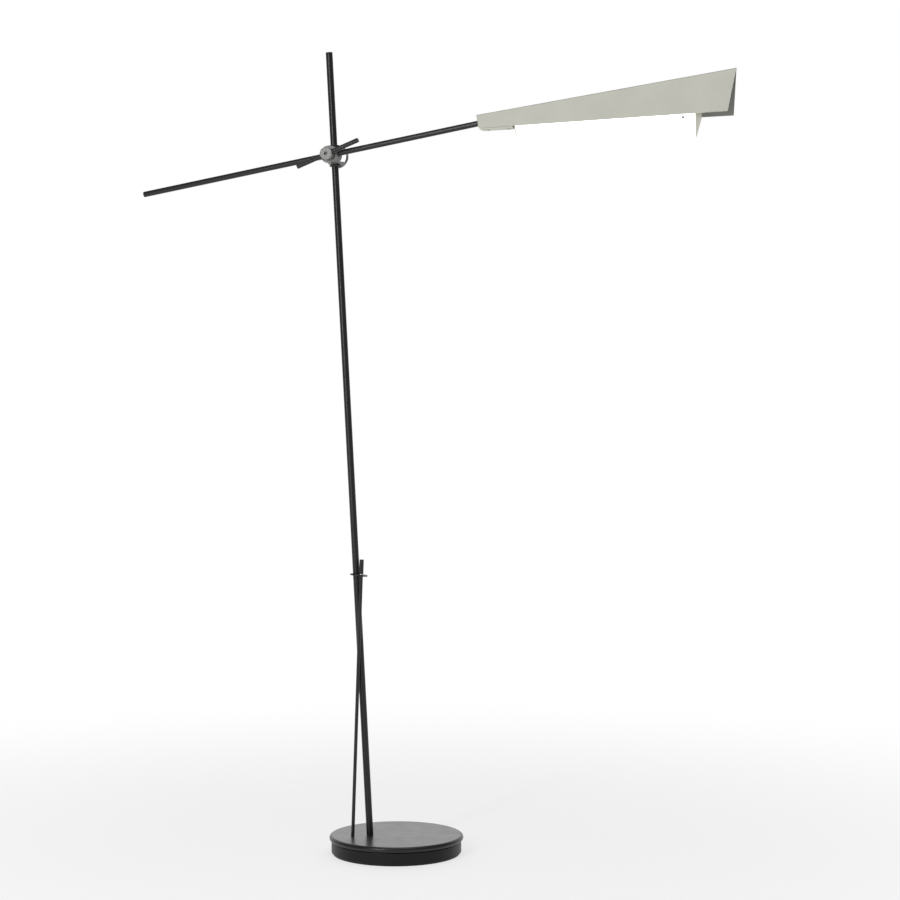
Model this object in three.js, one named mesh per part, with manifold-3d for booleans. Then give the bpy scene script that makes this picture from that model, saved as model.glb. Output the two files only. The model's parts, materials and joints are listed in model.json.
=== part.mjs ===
// Adjustable arm floor lamp.
//
// A leaning pole and a thin brace rod stand on a heavy round base and are tied together by a disc.
// A clamp slides and turns on the pole. Its collar carries a straight arm, and one tommy-bar knob
// squeezes the arm against the pole. The arm ends in a folded V-shaped shade over a lit V-shaped diffuser.
//
// Units are millimetres, +Z is up, and the origin is the centre of the base on the floor.
// +X runs from the pole's side of the base towards the head, and -Y is the front.

import * as THREE from 'three';
import { mergeVertices } from 'three/addons/utils/BufferGeometryUtils.js';
import Module from 'manifold-3d';

const wasm = await Module();
wasm.setup();

// ---------------------------------------------------------------- driving dimensions

const degrees = Math.PI / 180;
const gap = 0.3;                    // between pieces that touch
const runningGap = 0.2;             // between a shaft and the bore that it moves in
const overrun = 1;                  // how far a cutting tool runs past the face that it cuts

// base
const baseRadius = 118;             // turned top plate, over its rounded edge
const plateThickness = 10;
const plateEdgeRadius = 4.8;
const drumInset = 3.6;              // edge of the cast weight, inside the plate's edge
const drumHeight = 20;
const feltInset = 2.4;
const feltThickness = 2.6;

// pole
const poleRadius = 6;
const poleWall = 1.5;
const poleLength = 1373.5;          // from the top of the base, along the pole
const poleFoot = { x: -46.5, y: -4 };
const poleLean = 2.95 * degrees;    // towards -X
const poleSeatDepth = 2;            // sunk into the top plate
const poleStudRadius = 4;
const poleCapThickness = 2;

// brace rod and tie disc
const braceRadius = 3;
const braceFootX = -76.4;
const rodClearance = 1;             // between the brace rod and the pole that it passes
const braceLean = 1.9 * degrees;    // towards +X
const braceSeatDepth = 2;
const braceStudRadius = 2.4;
const tieHeight = 458;              // above the top of the base
const tieRim = 2.5;                 // material around the pole's hole in the disc
const tieThickness = 2.4;
const tieTilt = 6.3 * degrees;      // its +X side is the lower one
const studBeyondNut = 1.2;
const braceWasherRadius = 5.5;
const braceWasherThickness = 1;
const sleeveRadius = 3.75;
const sleeveTopWall = 6;
const sleeveBoreRoom = 1;           // between the thread's end and the sleeve's top wall
const sleeveLength = 25;
const tieWasherRadius = 4.4;
const tieWasherThickness = 1.2;

// clamp: places along the screw are measured forwards from the pole's axis
const clampBelowTop = 178.9;        // below the pole's top end, along the pole
const clampYaw = 17.5 * degrees;    // the screw points forwards and this far to -X
const cageBehindPole = 9.5;
const cageRearFlare = 7.2;          // its rear rim, outside the room around the pole
const cageRimThickness = 2.5;
const cageRimWidth = 3.4;
const cageWindowInset = 2.2;        // from the bore's top to the window's upper edge, and the same below
const cageRoom = 6;                 // around the bushes, inside the cage
const cageBridgeHeight = 3.4;       // material that each bush stands in
const cageFloor = 1;                // web behind the collar's flange
const cageWindowLip = 0.8;
const bushWall = 1;
const bushFlangeWidth = 2.5;
const bushFlangeThickness = 1.4;
const padRadius = 4.8;
const flangeRadius = 10.6;          // flange of the collar, held in the cage by the swivel rings
const flangeThickness = 1.5;
const flangeHold = 2;               // how far the swivel rings reach over the flange
const swivelRingThickness = 1.5;
const ringScrewCount = 4;
const flangeToScrews = 2.5;
const screwsToRim = 2.2;
const ringScrewHeadRadius = 1.45;
const ringScrewHeadThickness = 0.7;
const ringScrewShankRadius = 0.9;
const ringScrewLength = 4.2;
const collarWall = 0.8;             // between the collar's back and its cross bore
const collarNose = 5.1;             // thread in front of the cross bore
const linerWall = 1.1;
const linerOverhang = 0.7;          // how far the liner stands out of the collar
const screwRadius = 3.9;
const thrustWasherRadius = 9;
const thrustWasherThickness = 1;
const knobRadius = 10.95;
const edgeChamfer = 0.8;
const barChamfer = 0.5;
const knobBackWall = 1.6;           // behind the tommy bar's hole
const tommyRadius = 4;
const tommyLength = 121;
const tommyOffset = 1.5;            // it isn't quite centred in the knob
const tommyAngle = 11.4 * degrees;   // steeper than the arm
const grubRadius = 2.8;
const grubLength = 1.9;
const grubSocketRadius = 1.5;
const grubSocketDepth = 1.2;
const grubRecess = 0.4;             // below the knob's face

// arm
const armRadius = 5;
const armWall = 1.2;
const armPitch = 6.26 * degrees;    // above the plane square to the pole
const armTail = 363;                // from the screw's axis to the free end
const armReach = 275;               // from the screw's axis to the end inside the shade
const armCapThickness = 2;
const spigotWall = 1.3;
const spigotInArm = 40;
const spigotEndWall = 7;            // of the head block, past the spigot's end

// head: X runs along the shade's lower edges, Z is up from them, Y is across
const headDrop = 10.1;              // lower edges, below the arm's axis
const headDroop = 8.04 * degrees;   // the lower edges against the arm
const sheet = 1;
const edgeLength = 428.5;
const shadeOverArm = 0.35;          // between the arm and the panels that meet over it
const ridgeBehind = 7.6;            // how far the ridge starts before the lower edges
const ridgeBeyond = 11.3;           // and ends after them
const ridgeEndHeight = 75.7;
const flare = 0.41;                 // half width per millimetre below the ridge
const blockStart = 1.5;
const blockLength = 55.5;
const blockTopDepth = 6;            // its top, below the ridge
const blockBottom = 1;
const headGrubRadius = 2;
const headGrubLength = 5;
const neckPlateStart = 2;
const neckPlateBeyond = 3;          // past the block's end
const neckScrewInsets = { start: 12.5, end: 7 };
const neckPlateThickness = 2;
const neckScrewRadius = 1.5;
const neckScrewHeadRadius = 2.7;
const neckScrewHeadThickness = 1.3;
const neckScrewLength = 8;
const diffuserFromPlate = 5;
const diffuserInset = 54.5;         // its outer end, inside the shade's lower edges
const diffuserWall = 2;
const diffuserFlange = 7.7;          // how far its edges reach up inside the shade
const apexDepthStart = 14.3;
const apexDepthEnd = 36.6;
const diffuserEndLean = 0.135;      // how far its outer end leans, per millimetre of height
const endPlateThickness = 1.6;
const carrierFromBlock = 1;
const carrierBeyond = 6.4;          // past the diffuser's outer end
const carrierThickness = 2.6;
const boardThickness = 1.6;
const boardHalfWidth = 5.6;
const boardMargin = 8;
const switchInset = 20;             // from the diffuser's outer end
const switchDrop = 5.5;             // button centre, below the lower edge along the diffuser's side
const switchRadius = 4.5;
const switchLength = 7;
const buttonRadius = 2.4;
const buttonStandOut = 2;
const buttonStemRadius = 1.4;
const buttonStemLength = 3.8;
const buttonTravel = 1.4;

// inside the base
const driverSize = { x: 118, y: 42, z: 13 };
const glandHeight = 11;
const glandRadius = 5;
const glandBoreRadius = 2.9;
const glandFlangeRadius = 6.6;
const glandFlangeThickness = 2.4;
const glandLength = 16;
const baseScrewInset = 20.4;        // from the drum's edge
const baseScrewAngles = [90, 210, 330];
const baseScrewRadius = 3;
const baseScrewHeadRadius = 5.6;
const baseScrewHeadThickness = 3.4;
const baseScrewGrip = 4;            // length of thread in the top plate
const poleNutRadius = 8;            // across the corners
const poleNutThickness = 6;
const poleWasherRadius = 9;
const poleWasherThickness = 1.5;
const braceNutRadius = 4.6;
const braceNutThickness = 4;
const nutPocketClearance = 2.5;

// facets around a circle
const tiny = 10;
const coarse = 16;
const medium = 24;
const broad = 32;
const fine = 64;

// ---------------------------------------------------------------- levels and places worked out from them

const drumRadius = baseRadius - drumInset;
const feltRadius = drumRadius - feltInset;
const baseScrewCircle = drumRadius - baseScrewInset;
const drumBottom = feltThickness + gap;
const drumTop = drumBottom + drumHeight;
const plateBottom = drumTop + gap;
const plateTop = plateBottom + plateThickness;
const baseScrewLength = plateBottom + baseScrewGrip - drumBottom - gap;
const polePocketRadius = poleWasherRadius + nutPocketClearance;
const driverRoomStart = poleFoot.x + polePocketRadius;
const driverRoomEnd = Math.sqrt(drumRadius ** 2 - (driverSize.y / 2) ** 2);
const driverPlace = { x: (driverRoomStart + driverRoomEnd) / 2, y: 0 };
const braceFoot = { x: braceFootX, y: poleFoot.y - poleRadius - braceRadius - rodClearance };
const clampHeight = poleLength - clampBelowTop;

const bushBoreRadius = poleRadius + runningGap;
const bushRadius = bushBoreRadius + bushWall;
const bushFlangeRadius = bushRadius + bushFlangeWidth;
const cageInsideRadius = bushRadius + cageRoom;
const windowHalfHeight = cageInsideRadius - cageWindowInset;
const cageFlat = cageInsideRadius + cageBridgeHeight;
const cageRearRadius = cageInsideRadius + cageRearFlare;
const cageRear = -(poleRadius + cageBehindPole);
const neckRadius = flangeRadius - flangeHold;
const ringScrewCircle = flangeRadius + flangeToScrews;
const cageFrontRadius = ringScrewCircle + screwsToRim;

const padRear = poleRadius + gap;
const cageFront = padRear + cageFloor + gap + flangeThickness + gap;
const flangeRear = padRear + cageFloor + gap;
const swivelRingRear = cageFront + gap;
const swivelRingFront = swivelRingRear + swivelRingThickness;
const collarRear = swivelRingFront + gap;
const linerRadius = armRadius + linerWall;
const collarBoreRadius = linerRadius + gap;
const armForward = collarRear + collarWall + collarBoreRadius;
const padFront = armForward - linerRadius - gap;
const screwTip = armForward + linerRadius + gap;
const collarFront = armForward + collarBoreRadius + collarNose;
const thrustWasherRear = collarFront + gap;
const knobRear = thrustWasherRear + thrustWasherThickness + gap;
const tommyForward = knobRear + knobBackWall + runningGap + tommyRadius;
const grubRear = tommyForward + tommyRadius + gap;
const knobFace = grubRear + grubLength + grubRecess;

const headAlong = armReach - gap;
const blockEnd = blockStart + blockLength;
const headGrubAt = (blockStart + blockEnd) / 2;
const spigotInHead = blockEnd - spigotEndWall;
const neckPlateEnd = blockEnd + neckPlateBeyond;
const neckScrewsAt = [blockStart + neckScrewInsets.start, blockEnd - neckScrewInsets.end];
const diffuserStart = neckPlateEnd + diffuserFromPlate;
const diffuserEnd = edgeLength - diffuserInset;
const switchAt = diffuserEnd - switchInset;
const carrierHeight = diffuserFlange + gap;     // its underside, above the lower edges

// ---------------------------------------------------------------- materials

function standard(color, roughness, metalness) {
  return new THREE.MeshStandardMaterial({ color, roughness, metalness });
}

const blackPaint = standard(0x17181a, 0.42, 0.3);
const satinSteel = standard(0x6f7274, 0.4, 0.9);
const brightSteel = standard(0xb9bcbe, 0.25, 1);
const darkSteel = standard(0x2a2b2d, 0.4, 0.8);
const castIron = standard(0x3a3a3b, 0.7, 0.5);
const shadePaint = standard(0xd3d4cb, 0.5, 0);
const aluminium = standard(0xa9adb0, 0.45, 0.9);
const blackPlastic = standard(0x121213, 0.5, 0);
const whiteBoard = standard(0xe6e8e2, 0.5, 0);
const opalPlastic = standard(0xfdfaf0, 0.35, 0);
const palePlastic = standard(0xd9d8cc, 0.4, 0);
const felt = standard(0x1d1d1e, 0.95, 0);

// ---------------------------------------------------------------- solids

function toSolid(geometry) {
  const bare = geometry.clone();
  bare.deleteAttribute('normal');
  bare.deleteAttribute('uv');
  const merged = mergeVertices(bare, 1e-4);
  const solid = new wasm.Manifold(new wasm.Mesh({
    numProp: 3,
    vertProperties: new Float32Array(merged.attributes.position.array),
    triVerts: new Uint32Array(merged.index.array),
  }));
  return solid;
}

function toGeometry(solid) {
  const mesh = solid.getMesh();
  const geometry = new THREE.BufferGeometry();
  geometry.setAttribute('position', new THREE.BufferAttribute(new Float32Array(mesh.vertProperties), 3));
  geometry.setIndex(new THREE.BufferAttribute(new Uint32Array(mesh.triVerts), 1));
  geometry.computeVertexNormals();
  return geometry;
}

function cut(geometry, ...tools) {
  let solid = toSolid(geometry);
  for (const tool of tools) {
    solid = solid.subtract(toSolid(tool));
  }
  return toGeometry(solid);
}

function common(geometry, other) {
  return toGeometry(toSolid(geometry).intersect(toSolid(other)));
}

// A turned piece about Z, from a profile of [radius, height] points that starts and ends on the axis
// or closes on itself.
function turned(profile, facets = medium) {
  const points = profile.map(([radius, height]) => new THREE.Vector2(radius, height));
  const geometry = new THREE.LatheGeometry(points, facets);
  geometry.rotateX(Math.PI / 2);
  return orient(geometry);
}

// Lathe profiles may run either way round, so the faces are turned outwards here.
function orient(geometry) {
  const merged = stripped(geometry);
  if (signedVolume(merged) < 0) {
    const index = merged.index.array;
    for (let i = 0; i < index.length; i += 3) {
      [index[i], index[i + 1]] = [index[i + 1], index[i]];
    }
  }
  merged.computeVertexNormals();
  return merged;
}

// One vertex for each place, and no triangle that has shrunk to a line.
function stripped(geometry) {
  const bare = geometry.clone();
  bare.deleteAttribute('normal');
  bare.deleteAttribute('uv');
  const merged = mergeVertices(bare, 1e-4);
  const kept = [];
  const index = merged.index.array;
  for (let i = 0; i < index.length; i += 3) {
    const [a, b, c] = [index[i], index[i + 1], index[i + 2]];
    if (a !== b && b !== c && c !== a) {
      kept.push(a, b, c);
    }
  }
  merged.setIndex(kept);
  return merged;
}

function signedVolume(geometry) {
  const position = geometry.attributes.position;
  const index = geometry.index.array;
  const [a, b, c] = [new THREE.Vector3(), new THREE.Vector3(), new THREE.Vector3()];
  let volume = 0;
  for (let i = 0; i < index.length; i += 3) {
    a.fromBufferAttribute(position, index[i]);
    b.fromBufferAttribute(position, index[i + 1]);
    c.fromBufferAttribute(position, index[i + 2]);
    volume += a.dot(b.cross(c)) / 6;
  }
  return volume;
}

function rod(radius, from, to, facets = coarse) {
  return turned([[0, from], [radius, from], [radius, to], [0, to]], facets);
}

function ring(inner, outer, from, to, facets = medium) {
  return turned([[inner, from], [outer, from], [outer, to], [inner, to], [inner, from]], facets);
}

function box(xFrom, xTo, yFrom, yTo, zFrom, zTo) {
  const geometry = new THREE.BoxGeometry(xTo - xFrom, yTo - yFrom, zTo - zFrom);
  geometry.translate((xFrom + xTo) / 2, (yFrom + yTo) / 2, (zFrom + zTo) / 2);
  return geometry;
}

// A rod along X, centred on the line through y and z.
function rodAlongX(radius, from, to, y, z, facets = coarse) {
  const geometry = rod(radius, from, to, facets);
  geometry.rotateY(Math.PI / 2);
  geometry.translate(0, y, z);
  return geometry;
}

// A rod along Y, centred on the line through x and z.
function rodAlongY(radius, from, to, x, z, facets = coarse) {
  const geometry = rod(radius, -to, -from, facets);
  geometry.rotateX(Math.PI / 2);
  geometry.translate(x, 0, z);
  return geometry;
}

function moved(geometry, x, y, z) {
  geometry.translate(x, y, z);
  return geometry;
}

// A solid between two outlines that have the same number of points, each a list of [x, y, z].
function loft(first, second) {
  const count = first.length;
  const positions = [...first, ...second].flat();
  const flat = first.map(([, y, z]) => new THREE.Vector2(y, z));
  const clockwise = THREE.ShapeUtils.isClockWise(flat);
  const triangles = THREE.ShapeUtils.triangulateShape(flat, []);
  const caps = triangles.map(([a, b, c]) => (clockwise ? [c, b, a] : [a, b, c]));
  const index = [];
  for (const [a, b, c] of caps) {
    index.push(c, b, a);
    index.push(count + a, count + b, count + c);
  }
  for (let i = 0; i < count; i += 1) {
    const next = (i + 1) % count;
    index.push(i, next, count + i);
    index.push(next, count + next, count + i);
  }
  const geometry = new THREE.BufferGeometry();
  geometry.setAttribute('position', new THREE.Float32BufferAttribute(positions, 3));
  geometry.setIndex(index);
  return orient(geometry);
}

// ---------------------------------------------------------------- scene graph

const lamp = new THREE.Group();

function add(group, name, geometry, material) {
  const mesh = new THREE.Mesh(geometry, material);
  mesh.name = name;
  group.add(mesh);
  return mesh;
}

function child(group, x, y, z) {
  const inner = new THREE.Group();
  inner.position.set(x, y, z);
  group.add(inner);
  return inner;
}

// A shape drawn in one group's frame, as it lies in another's.
function carried(geometry, from, to) {
  lamp.updateMatrixWorld(true);
  const matrix = to.matrixWorld.clone().invert().multiply(from.matrixWorld);
  return geometry.clone().applyMatrix4(matrix);
}

const onPole = child(lamp, poleFoot.x, poleFoot.y, plateTop);
onPole.rotation.y = -poleLean;
const onBrace = child(lamp, braceFoot.x, braceFoot.y, plateTop);
onBrace.rotation.y = braceLean;

// The clamp's own frame: X across, Y up the pole, Z forwards along the screw.
const clampTurn = child(onPole, 0, 0, clampHeight);
clampTurn.rotation.z = -clampYaw;
const clamp = child(clampTurn, 0, 0, 0);
clamp.rotation.x = Math.PI / 2;

// The collar's frame is the clamp's, turned about the screw so that X runs along the arm.
const collar = child(clamp, 0, 0, 0);
collar.rotation.z = armPitch;

// The arm's frame: X along the arm, Y backwards, Z up.
const arm = child(collar, 0, 0, armForward);
arm.rotation.x = -Math.PI / 2;
const head = child(arm, headAlong, 0, -headDrop);
head.rotation.y = headDroop;

// ---------------------------------------------------------------- base

// Half of the top plate's profile, with its rounded edge as an arc.
function plateProfile() {
  const profile = [[0, plateBottom]];
  const centreRadius = baseRadius - plateEdgeRadius;
  const middle = (plateBottom + plateTop) / 2;
  const steps = 6;
  for (let i = 0; i <= steps; i += 1) {
    const angle = -Math.PI / 2 + (Math.PI * i) / steps;
    const across = plateEdgeRadius * Math.cos(angle);
    const up = (plateThickness / 2) * Math.sin(angle);
    profile.push([centreRadius + across, middle + up]);
  }
  profile.push([0, plateTop]);
  return profile;
}

function baseScrewPlace(number) {
  const angle = baseScrewAngles[number] * degrees;
  return { x: baseScrewCircle * Math.cos(angle), y: baseScrewCircle * Math.sin(angle) };
}

function makeBasePlate() {
  const tools = [
    carried(rod(poleRadius + gap, -poleSeatDepth - gap, plateThickness, medium), onPole, lamp),
    carried(rod(poleStudRadius + gap, -2 * plateThickness, 0), onPole, lamp),
    carried(rod(braceRadius + gap, -braceSeatDepth - gap, plateThickness), onBrace, lamp),
    carried(rod(braceStudRadius + gap, -2 * plateThickness, 0), onBrace, lamp),
  ];
  const screwTop = drumBottom + gap + baseScrewLength;
  for (let i = 0; i < baseScrewAngles.length; i += 1) {
    const { x, y } = baseScrewPlace(i);
    tools.push(moved(rod(baseScrewRadius + gap, plateBottom - overrun, screwTop + gap), x, y, 0));
  }
  add(lamp, 'base_plate', cut(turned(plateProfile(), fine), ...tools), blackPaint);
}

function makeBaseDrum() {
  const tools = [
    moved(rod(polePocketRadius, 0, plateTop, medium), poleFoot.x, poleFoot.y, 0),
    moved(rod(braceNutRadius + nutPocketClearance, 0, plateTop), braceFoot.x, braceFoot.y, 0),
  ];
  const driverTop = drumBottom + driverSize.z + 2 * gap;
  const halfX = driverSize.x / 2 + gap;
  const halfY = driverSize.y / 2 + gap;
  const { x, y } = driverPlace;
  tools.push(box(x - halfX, x + halfX, y - halfY, y + halfY, 0, driverTop));
  tools.push(rodAlongY(glandRadius + gap, y, drumRadius + overrun, x, glandHeight));
  for (let i = 0; i < baseScrewAngles.length; i += 1) {
    const place = baseScrewPlace(i);
    const headTop = drumBottom + gap + baseScrewHeadThickness;
    tools.push(moved(rod(baseScrewHeadRadius + gap, 0, headTop + gap), place.x, place.y, 0));
    tools.push(moved(rod(baseScrewRadius + gap, 0, plateTop), place.x, place.y, 0));
  }
  add(lamp, 'base_drum', cut(rod(drumRadius, drumBottom, drumTop, fine), ...tools), castIron);
}

function makeBaseFittings() {
  add(lamp, 'base_felt', rod(feltRadius, 0, feltThickness, fine), felt);

  const driver = child(lamp, driverPlace.x, driverPlace.y, drumBottom + gap);
  const [dx, dy, dz] = [driverSize.x / 2, driverSize.y / 2, driverSize.z];
  add(driver, 'driver_unit', box(-dx, dx, -dy, dy, 0, dz), blackPlastic);

  const glandGroup = child(lamp, driverPlace.x, 0, glandHeight);
  const wallAt = Math.sqrt(drumRadius ** 2 - driverPlace.x ** 2);
  const flangeFrom = Math.sqrt(drumRadius ** 2 - (driverPlace.x - glandFlangeRadius) ** 2) + gap;
  const gland = turned([
    [glandBoreRadius, wallAt - glandLength],
    [glandRadius, wallAt - glandLength],
    [glandRadius, flangeFrom],
    [glandFlangeRadius, flangeFrom],
    [glandFlangeRadius, flangeFrom + glandFlangeThickness],
    [glandBoreRadius, flangeFrom + glandFlangeThickness],
    [glandBoreRadius, wallAt - glandLength],
  ], coarse);
  gland.rotateX(-Math.PI / 2);
  add(glandGroup, 'cord_gland', gland, blackPlastic);

  for (let i = 0; i < baseScrewAngles.length; i += 1) {
    const { x, y } = baseScrewPlace(i);
    const place = child(lamp, x, y, drumBottom + gap);
    const screw = turned([
      [0, 0],
      [baseScrewHeadRadius, 0],
      [baseScrewHeadRadius, baseScrewHeadThickness],
      [baseScrewRadius, baseScrewHeadThickness],
      [baseScrewRadius, baseScrewLength],
      [0, baseScrewLength],
    ], coarse);
    add(place, `base_screw_${i + 1}`, screw, darkSteel);
  }
}

// ---------------------------------------------------------------- pole, brace and tie disc

// A ring and a hexagon nut on a stud, below a level face that the stud leans through.
function addStudFixings(group, names, lean, studRadius, washer, nutRadius, nutThickness) {
  const boreRadius = studRadius + gap;
  const washerTop = -(plateThickness + gap) - washer.radius * Math.tan(lean) - gap;
  const washerBottom = washerTop - washer.thickness;
  add(group, names.washer, ring(boreRadius, washer.radius, washerBottom, washerTop), brightSteel);
  const nutTop = washerBottom - gap;
  const nutBottom = nutTop - nutThickness;
  const bore = rod(boreRadius, nutBottom - overrun, nutTop + overrun);
  add(group, names.nut, cut(rod(nutRadius, nutBottom, nutTop, 6), bore), brightSteel);
  return nutBottom;
}

function makePole() {
  const washer = { radius: poleWasherRadius, thickness: poleWasherThickness };
  const names = { washer: 'pole_washer', nut: 'pole_nut' };
  const nutBottom = addStudFixings(
    onPole, names, poleLean, poleStudRadius, washer, poleNutRadius, poleNutThickness,
  );
  const boreRadius = poleRadius - poleWall;
  const pole = turned([
    [0, nutBottom - studBeyondNut],
    [poleStudRadius, nutBottom - studBeyondNut],
    [poleStudRadius, -poleSeatDepth],
    [poleRadius, -poleSeatDepth],
    [poleRadius, poleLength],
    [boreRadius, poleLength],
    [boreRadius, plateThickness],
    [0, plateThickness],
  ], medium);
  add(onPole, 'pole', pole, blackPaint);
  add(onPole, 'pole_cap', tubeCap(poleRadius, boreRadius, poleCapThickness, poleLength), blackPlastic);
}

// A plug with a flat head that closes a tube whose end is at the given height.
function tubeCap(tubeRadius, boreRadius, thickness, end) {
  const plugRadius = boreRadius - gap;
  const plugLength = 2 * tubeRadius;
  return turned([
    [0, end - plugLength],
    [plugRadius, end - plugLength],
    [plugRadius, end + gap],
    [tubeRadius, end + gap],
    [tubeRadius, end + gap + thickness],
    [0, end + gap + thickness],
  ], medium);
}

// Where the pole's and the brace's axes pass through the tie disc.
const poleAtTie = { x: poleFoot.x - tieHeight * Math.tan(poleLean), y: poleFoot.y };
const braceAtTie = { x: braceFoot.x + tieHeight * Math.tan(braceLean), y: braceFoot.y };
const tieCentre = { x: (poleAtTie.x + braceAtTie.x) / 2, y: (poleAtTie.y + braceAtTie.y) / 2 };
const tieAtBrace = tieHeight - (braceAtTie.x - tieCentre.x) * Math.tan(tieTilt);
const tieSlant = Math.tan(tieTilt - braceLean);
const tieSpacing = Math.hypot(poleAtTie.x - braceAtTie.x, poleAtTie.y - braceAtTie.y);
const tieRadius = tieSpacing / 2 + poleRadius + gap + tieRim;

function makeBrace() {
  const washer = { radius: braceWasherRadius, thickness: braceWasherThickness };
  const names = { washer: 'brace_washer', nut: 'brace_nut' };
  const nutBottom = addStudFixings(
    onBrace, names, braceLean, braceStudRadius, washer, braceNutRadius, braceNutThickness,
  );
  const shoulder = tieAtBrace - tieThickness / 2 - gap - braceRadius * tieSlant;
  const washerBottom = tieAtBrace + tieThickness / 2 + gap + tieWasherRadius * tieSlant;
  const sleeveBottom = washerBottom + tieWasherThickness + gap;
  const threadEnd = sleeveBottom + sleeveLength - sleeveTopWall - sleeveBoreRoom;
  const brace = turned([
    [0, nutBottom - studBeyondNut],
    [braceStudRadius, nutBottom - studBeyondNut],
    [braceStudRadius, -braceSeatDepth],
    [braceRadius, -braceSeatDepth],
    [braceRadius, shoulder],
    [braceStudRadius, shoulder],
    [braceStudRadius, threadEnd],
    [0, threadEnd],
  ], coarse);
  add(onBrace, 'brace_rod', brace, blackPaint);

  const boreRadius = braceStudRadius + gap;
  const washerTop = washerBottom + tieWasherThickness;
  add(onBrace, 'tie_washer', ring(boreRadius, tieWasherRadius, washerBottom, washerTop), brightSteel);
  const sleeve = turned([
    [boreRadius, sleeveBottom],
    [sleeveRadius, sleeveBottom],
    [sleeveRadius, sleeveBottom + sleeveLength],
    [0, sleeveBottom + sleeveLength],
    [0, sleeveBottom + sleeveLength - sleeveTopWall],
    [boreRadius, sleeveBottom + sleeveLength - sleeveTopWall],
    [boreRadius, sleeveBottom],
  ], coarse);
  add(onBrace, 'brace_sleeve', sleeve, blackPaint);
}

function makeTieDisc() {
  const onTie = child(lamp, tieCentre.x, tieCentre.y, plateTop + tieHeight);
  onTie.rotation.y = tieTilt;
  const below = tieHeight - tieRadius;
  const above = tieHeight + tieRadius;
  const tools = [
    carried(rod(poleRadius + gap, below, above, medium), onPole, onTie),
    carried(rod(braceStudRadius + gap, below, above), onBrace, onTie),
  ];
  const disc = rod(tieRadius, -tieThickness / 2, tieThickness / 2, broad);
  add(onTie, 'tie_disc', cut(disc, ...tools), blackPaint);
}

// ---------------------------------------------------------------- clamp

const cageRimFront = cageRear + cageRimThickness;
const windowFront = padRear - cageWindowLip;

// Four corners around the screw, halfway between its cross and upright directions.
function ringScrewPlace(number) {
  const angle = ((number + 0.5) * 2 * Math.PI) / ringScrewCount;
  return { x: ringScrewCircle * Math.cos(angle), y: ringScrewCircle * Math.sin(angle) };
}

function makeCage() {
  const beyond = 2 * cageRearRadius;
  const seatRear = -(bushFlangeRadius + gap);
  const boreFrom = Math.sqrt(cageInsideRadius ** 2 - (bushRadius + gap) ** 2) - gap;
  const body = turned([
    [0, cageRear],
    [cageRearRadius, cageRear],
    [cageRearRadius, cageRimFront],
    [cageFrontRadius, cageFront],
    [0, cageFront],
  ], broad);
  const tools = [
    rod(cageInsideRadius, cageRear - overrun, padRear, medium),
    rod(cageRearRadius - cageRimWidth, cageRear - overrun, cageRimFront, broad),
    box(-beyond, beyond, -windowHalfHeight, windowHalfHeight, cageRimFront, windowFront),
    box(-beyond, beyond, cageFlat, beyond, seatRear, cageFront + overrun),
    box(-beyond, beyond, -beyond, -cageFlat, seatRear, cageFront + overrun),
    rodAlongY(bushRadius + gap, boreFrom, beyond, 0, 0, medium),
    rodAlongY(bushRadius + gap, -beyond, -boreFrom, 0, 0, medium),
    rod(flangeRadius + gap, padRear + cageFloor, cageFront + overrun, medium),
    rod(padRadius + gap, padRear - overrun, cageFront),
  ];
  const screwTipAt = swivelRingFront - ringScrewLength;
  for (let i = 0; i < ringScrewCount; i += 1) {
    const { x, y } = ringScrewPlace(i);
    const hole = rod(ringScrewShankRadius + gap, screwTipAt - gap, cageFront + overrun, tiny);
    tools.push(moved(hole, x, y, 0));
  }
  add(clamp, 'clamp_cage', cut(body, ...tools), satinSteel);
}

// A flanged sleeve that the pole runs in, standing in the bridge above or below the window.
function makeBush(name, side) {
  const sleeveFrom = cageInsideRadius;
  const flangeFrom = cageFlat + gap;
  const bush = turned([
    [bushBoreRadius, sleeveFrom],
    [bushRadius, sleeveFrom],
    [bushRadius, flangeFrom],
    [bushFlangeRadius, flangeFrom],
    [bushFlangeRadius, flangeFrom + bushFlangeThickness],
    [bushBoreRadius, flangeFrom + bushFlangeThickness],
    [bushBoreRadius, sleeveFrom],
  ], medium);
  bush.rotateX(-side * Math.PI / 2);
  add(clamp, name, bush, blackPlastic);
}

function makeSwivelRings() {
  const tools = [];
  for (let i = 0; i < ringScrewCount; i += 1) {
    const { x, y } = ringScrewPlace(i);
    const headRear = swivelRingFront - ringScrewHeadThickness;
    const headHole = rod(ringScrewHeadRadius + gap, headRear - gap, swivelRingFront + overrun, tiny);
    const shankHole = rod(ringScrewShankRadius + gap, swivelRingRear - overrun, swivelRingFront, tiny);
    tools.push(moved(headHole, x, y, 0));
    tools.push(moved(shankHole, x, y, 0));
    const place = child(clamp, x, y, swivelRingFront);
    const screw = turned([
      [0, -ringScrewLength],
      [ringScrewShankRadius, -ringScrewLength],
      [ringScrewShankRadius, -ringScrewHeadThickness],
      [ringScrewHeadRadius, -ringScrewHeadThickness],
      [ringScrewHeadRadius, 0],
      [0, 0],
    ], tiny);
    add(place, `ring_screw_${i + 1}`, screw, darkSteel);
  }
  const plain = ring(neckRadius + gap, cageFrontRadius, swivelRingRear, swivelRingFront, broad);
  const whole = cut(plain, ...tools);
  const beyond = 2 * cageRearRadius;
  const halves = [['swivel_ring_left', -beyond, -gap / 2], ['swivel_ring_right', gap / 2, beyond]];
  for (const [name, from, to] of halves) {
    const keep = box(from, to, -beyond, beyond, swivelRingRear - overrun, swivelRingFront + overrun);
    add(clamp, name, common(whole, keep), satinSteel);
  }
}

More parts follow.
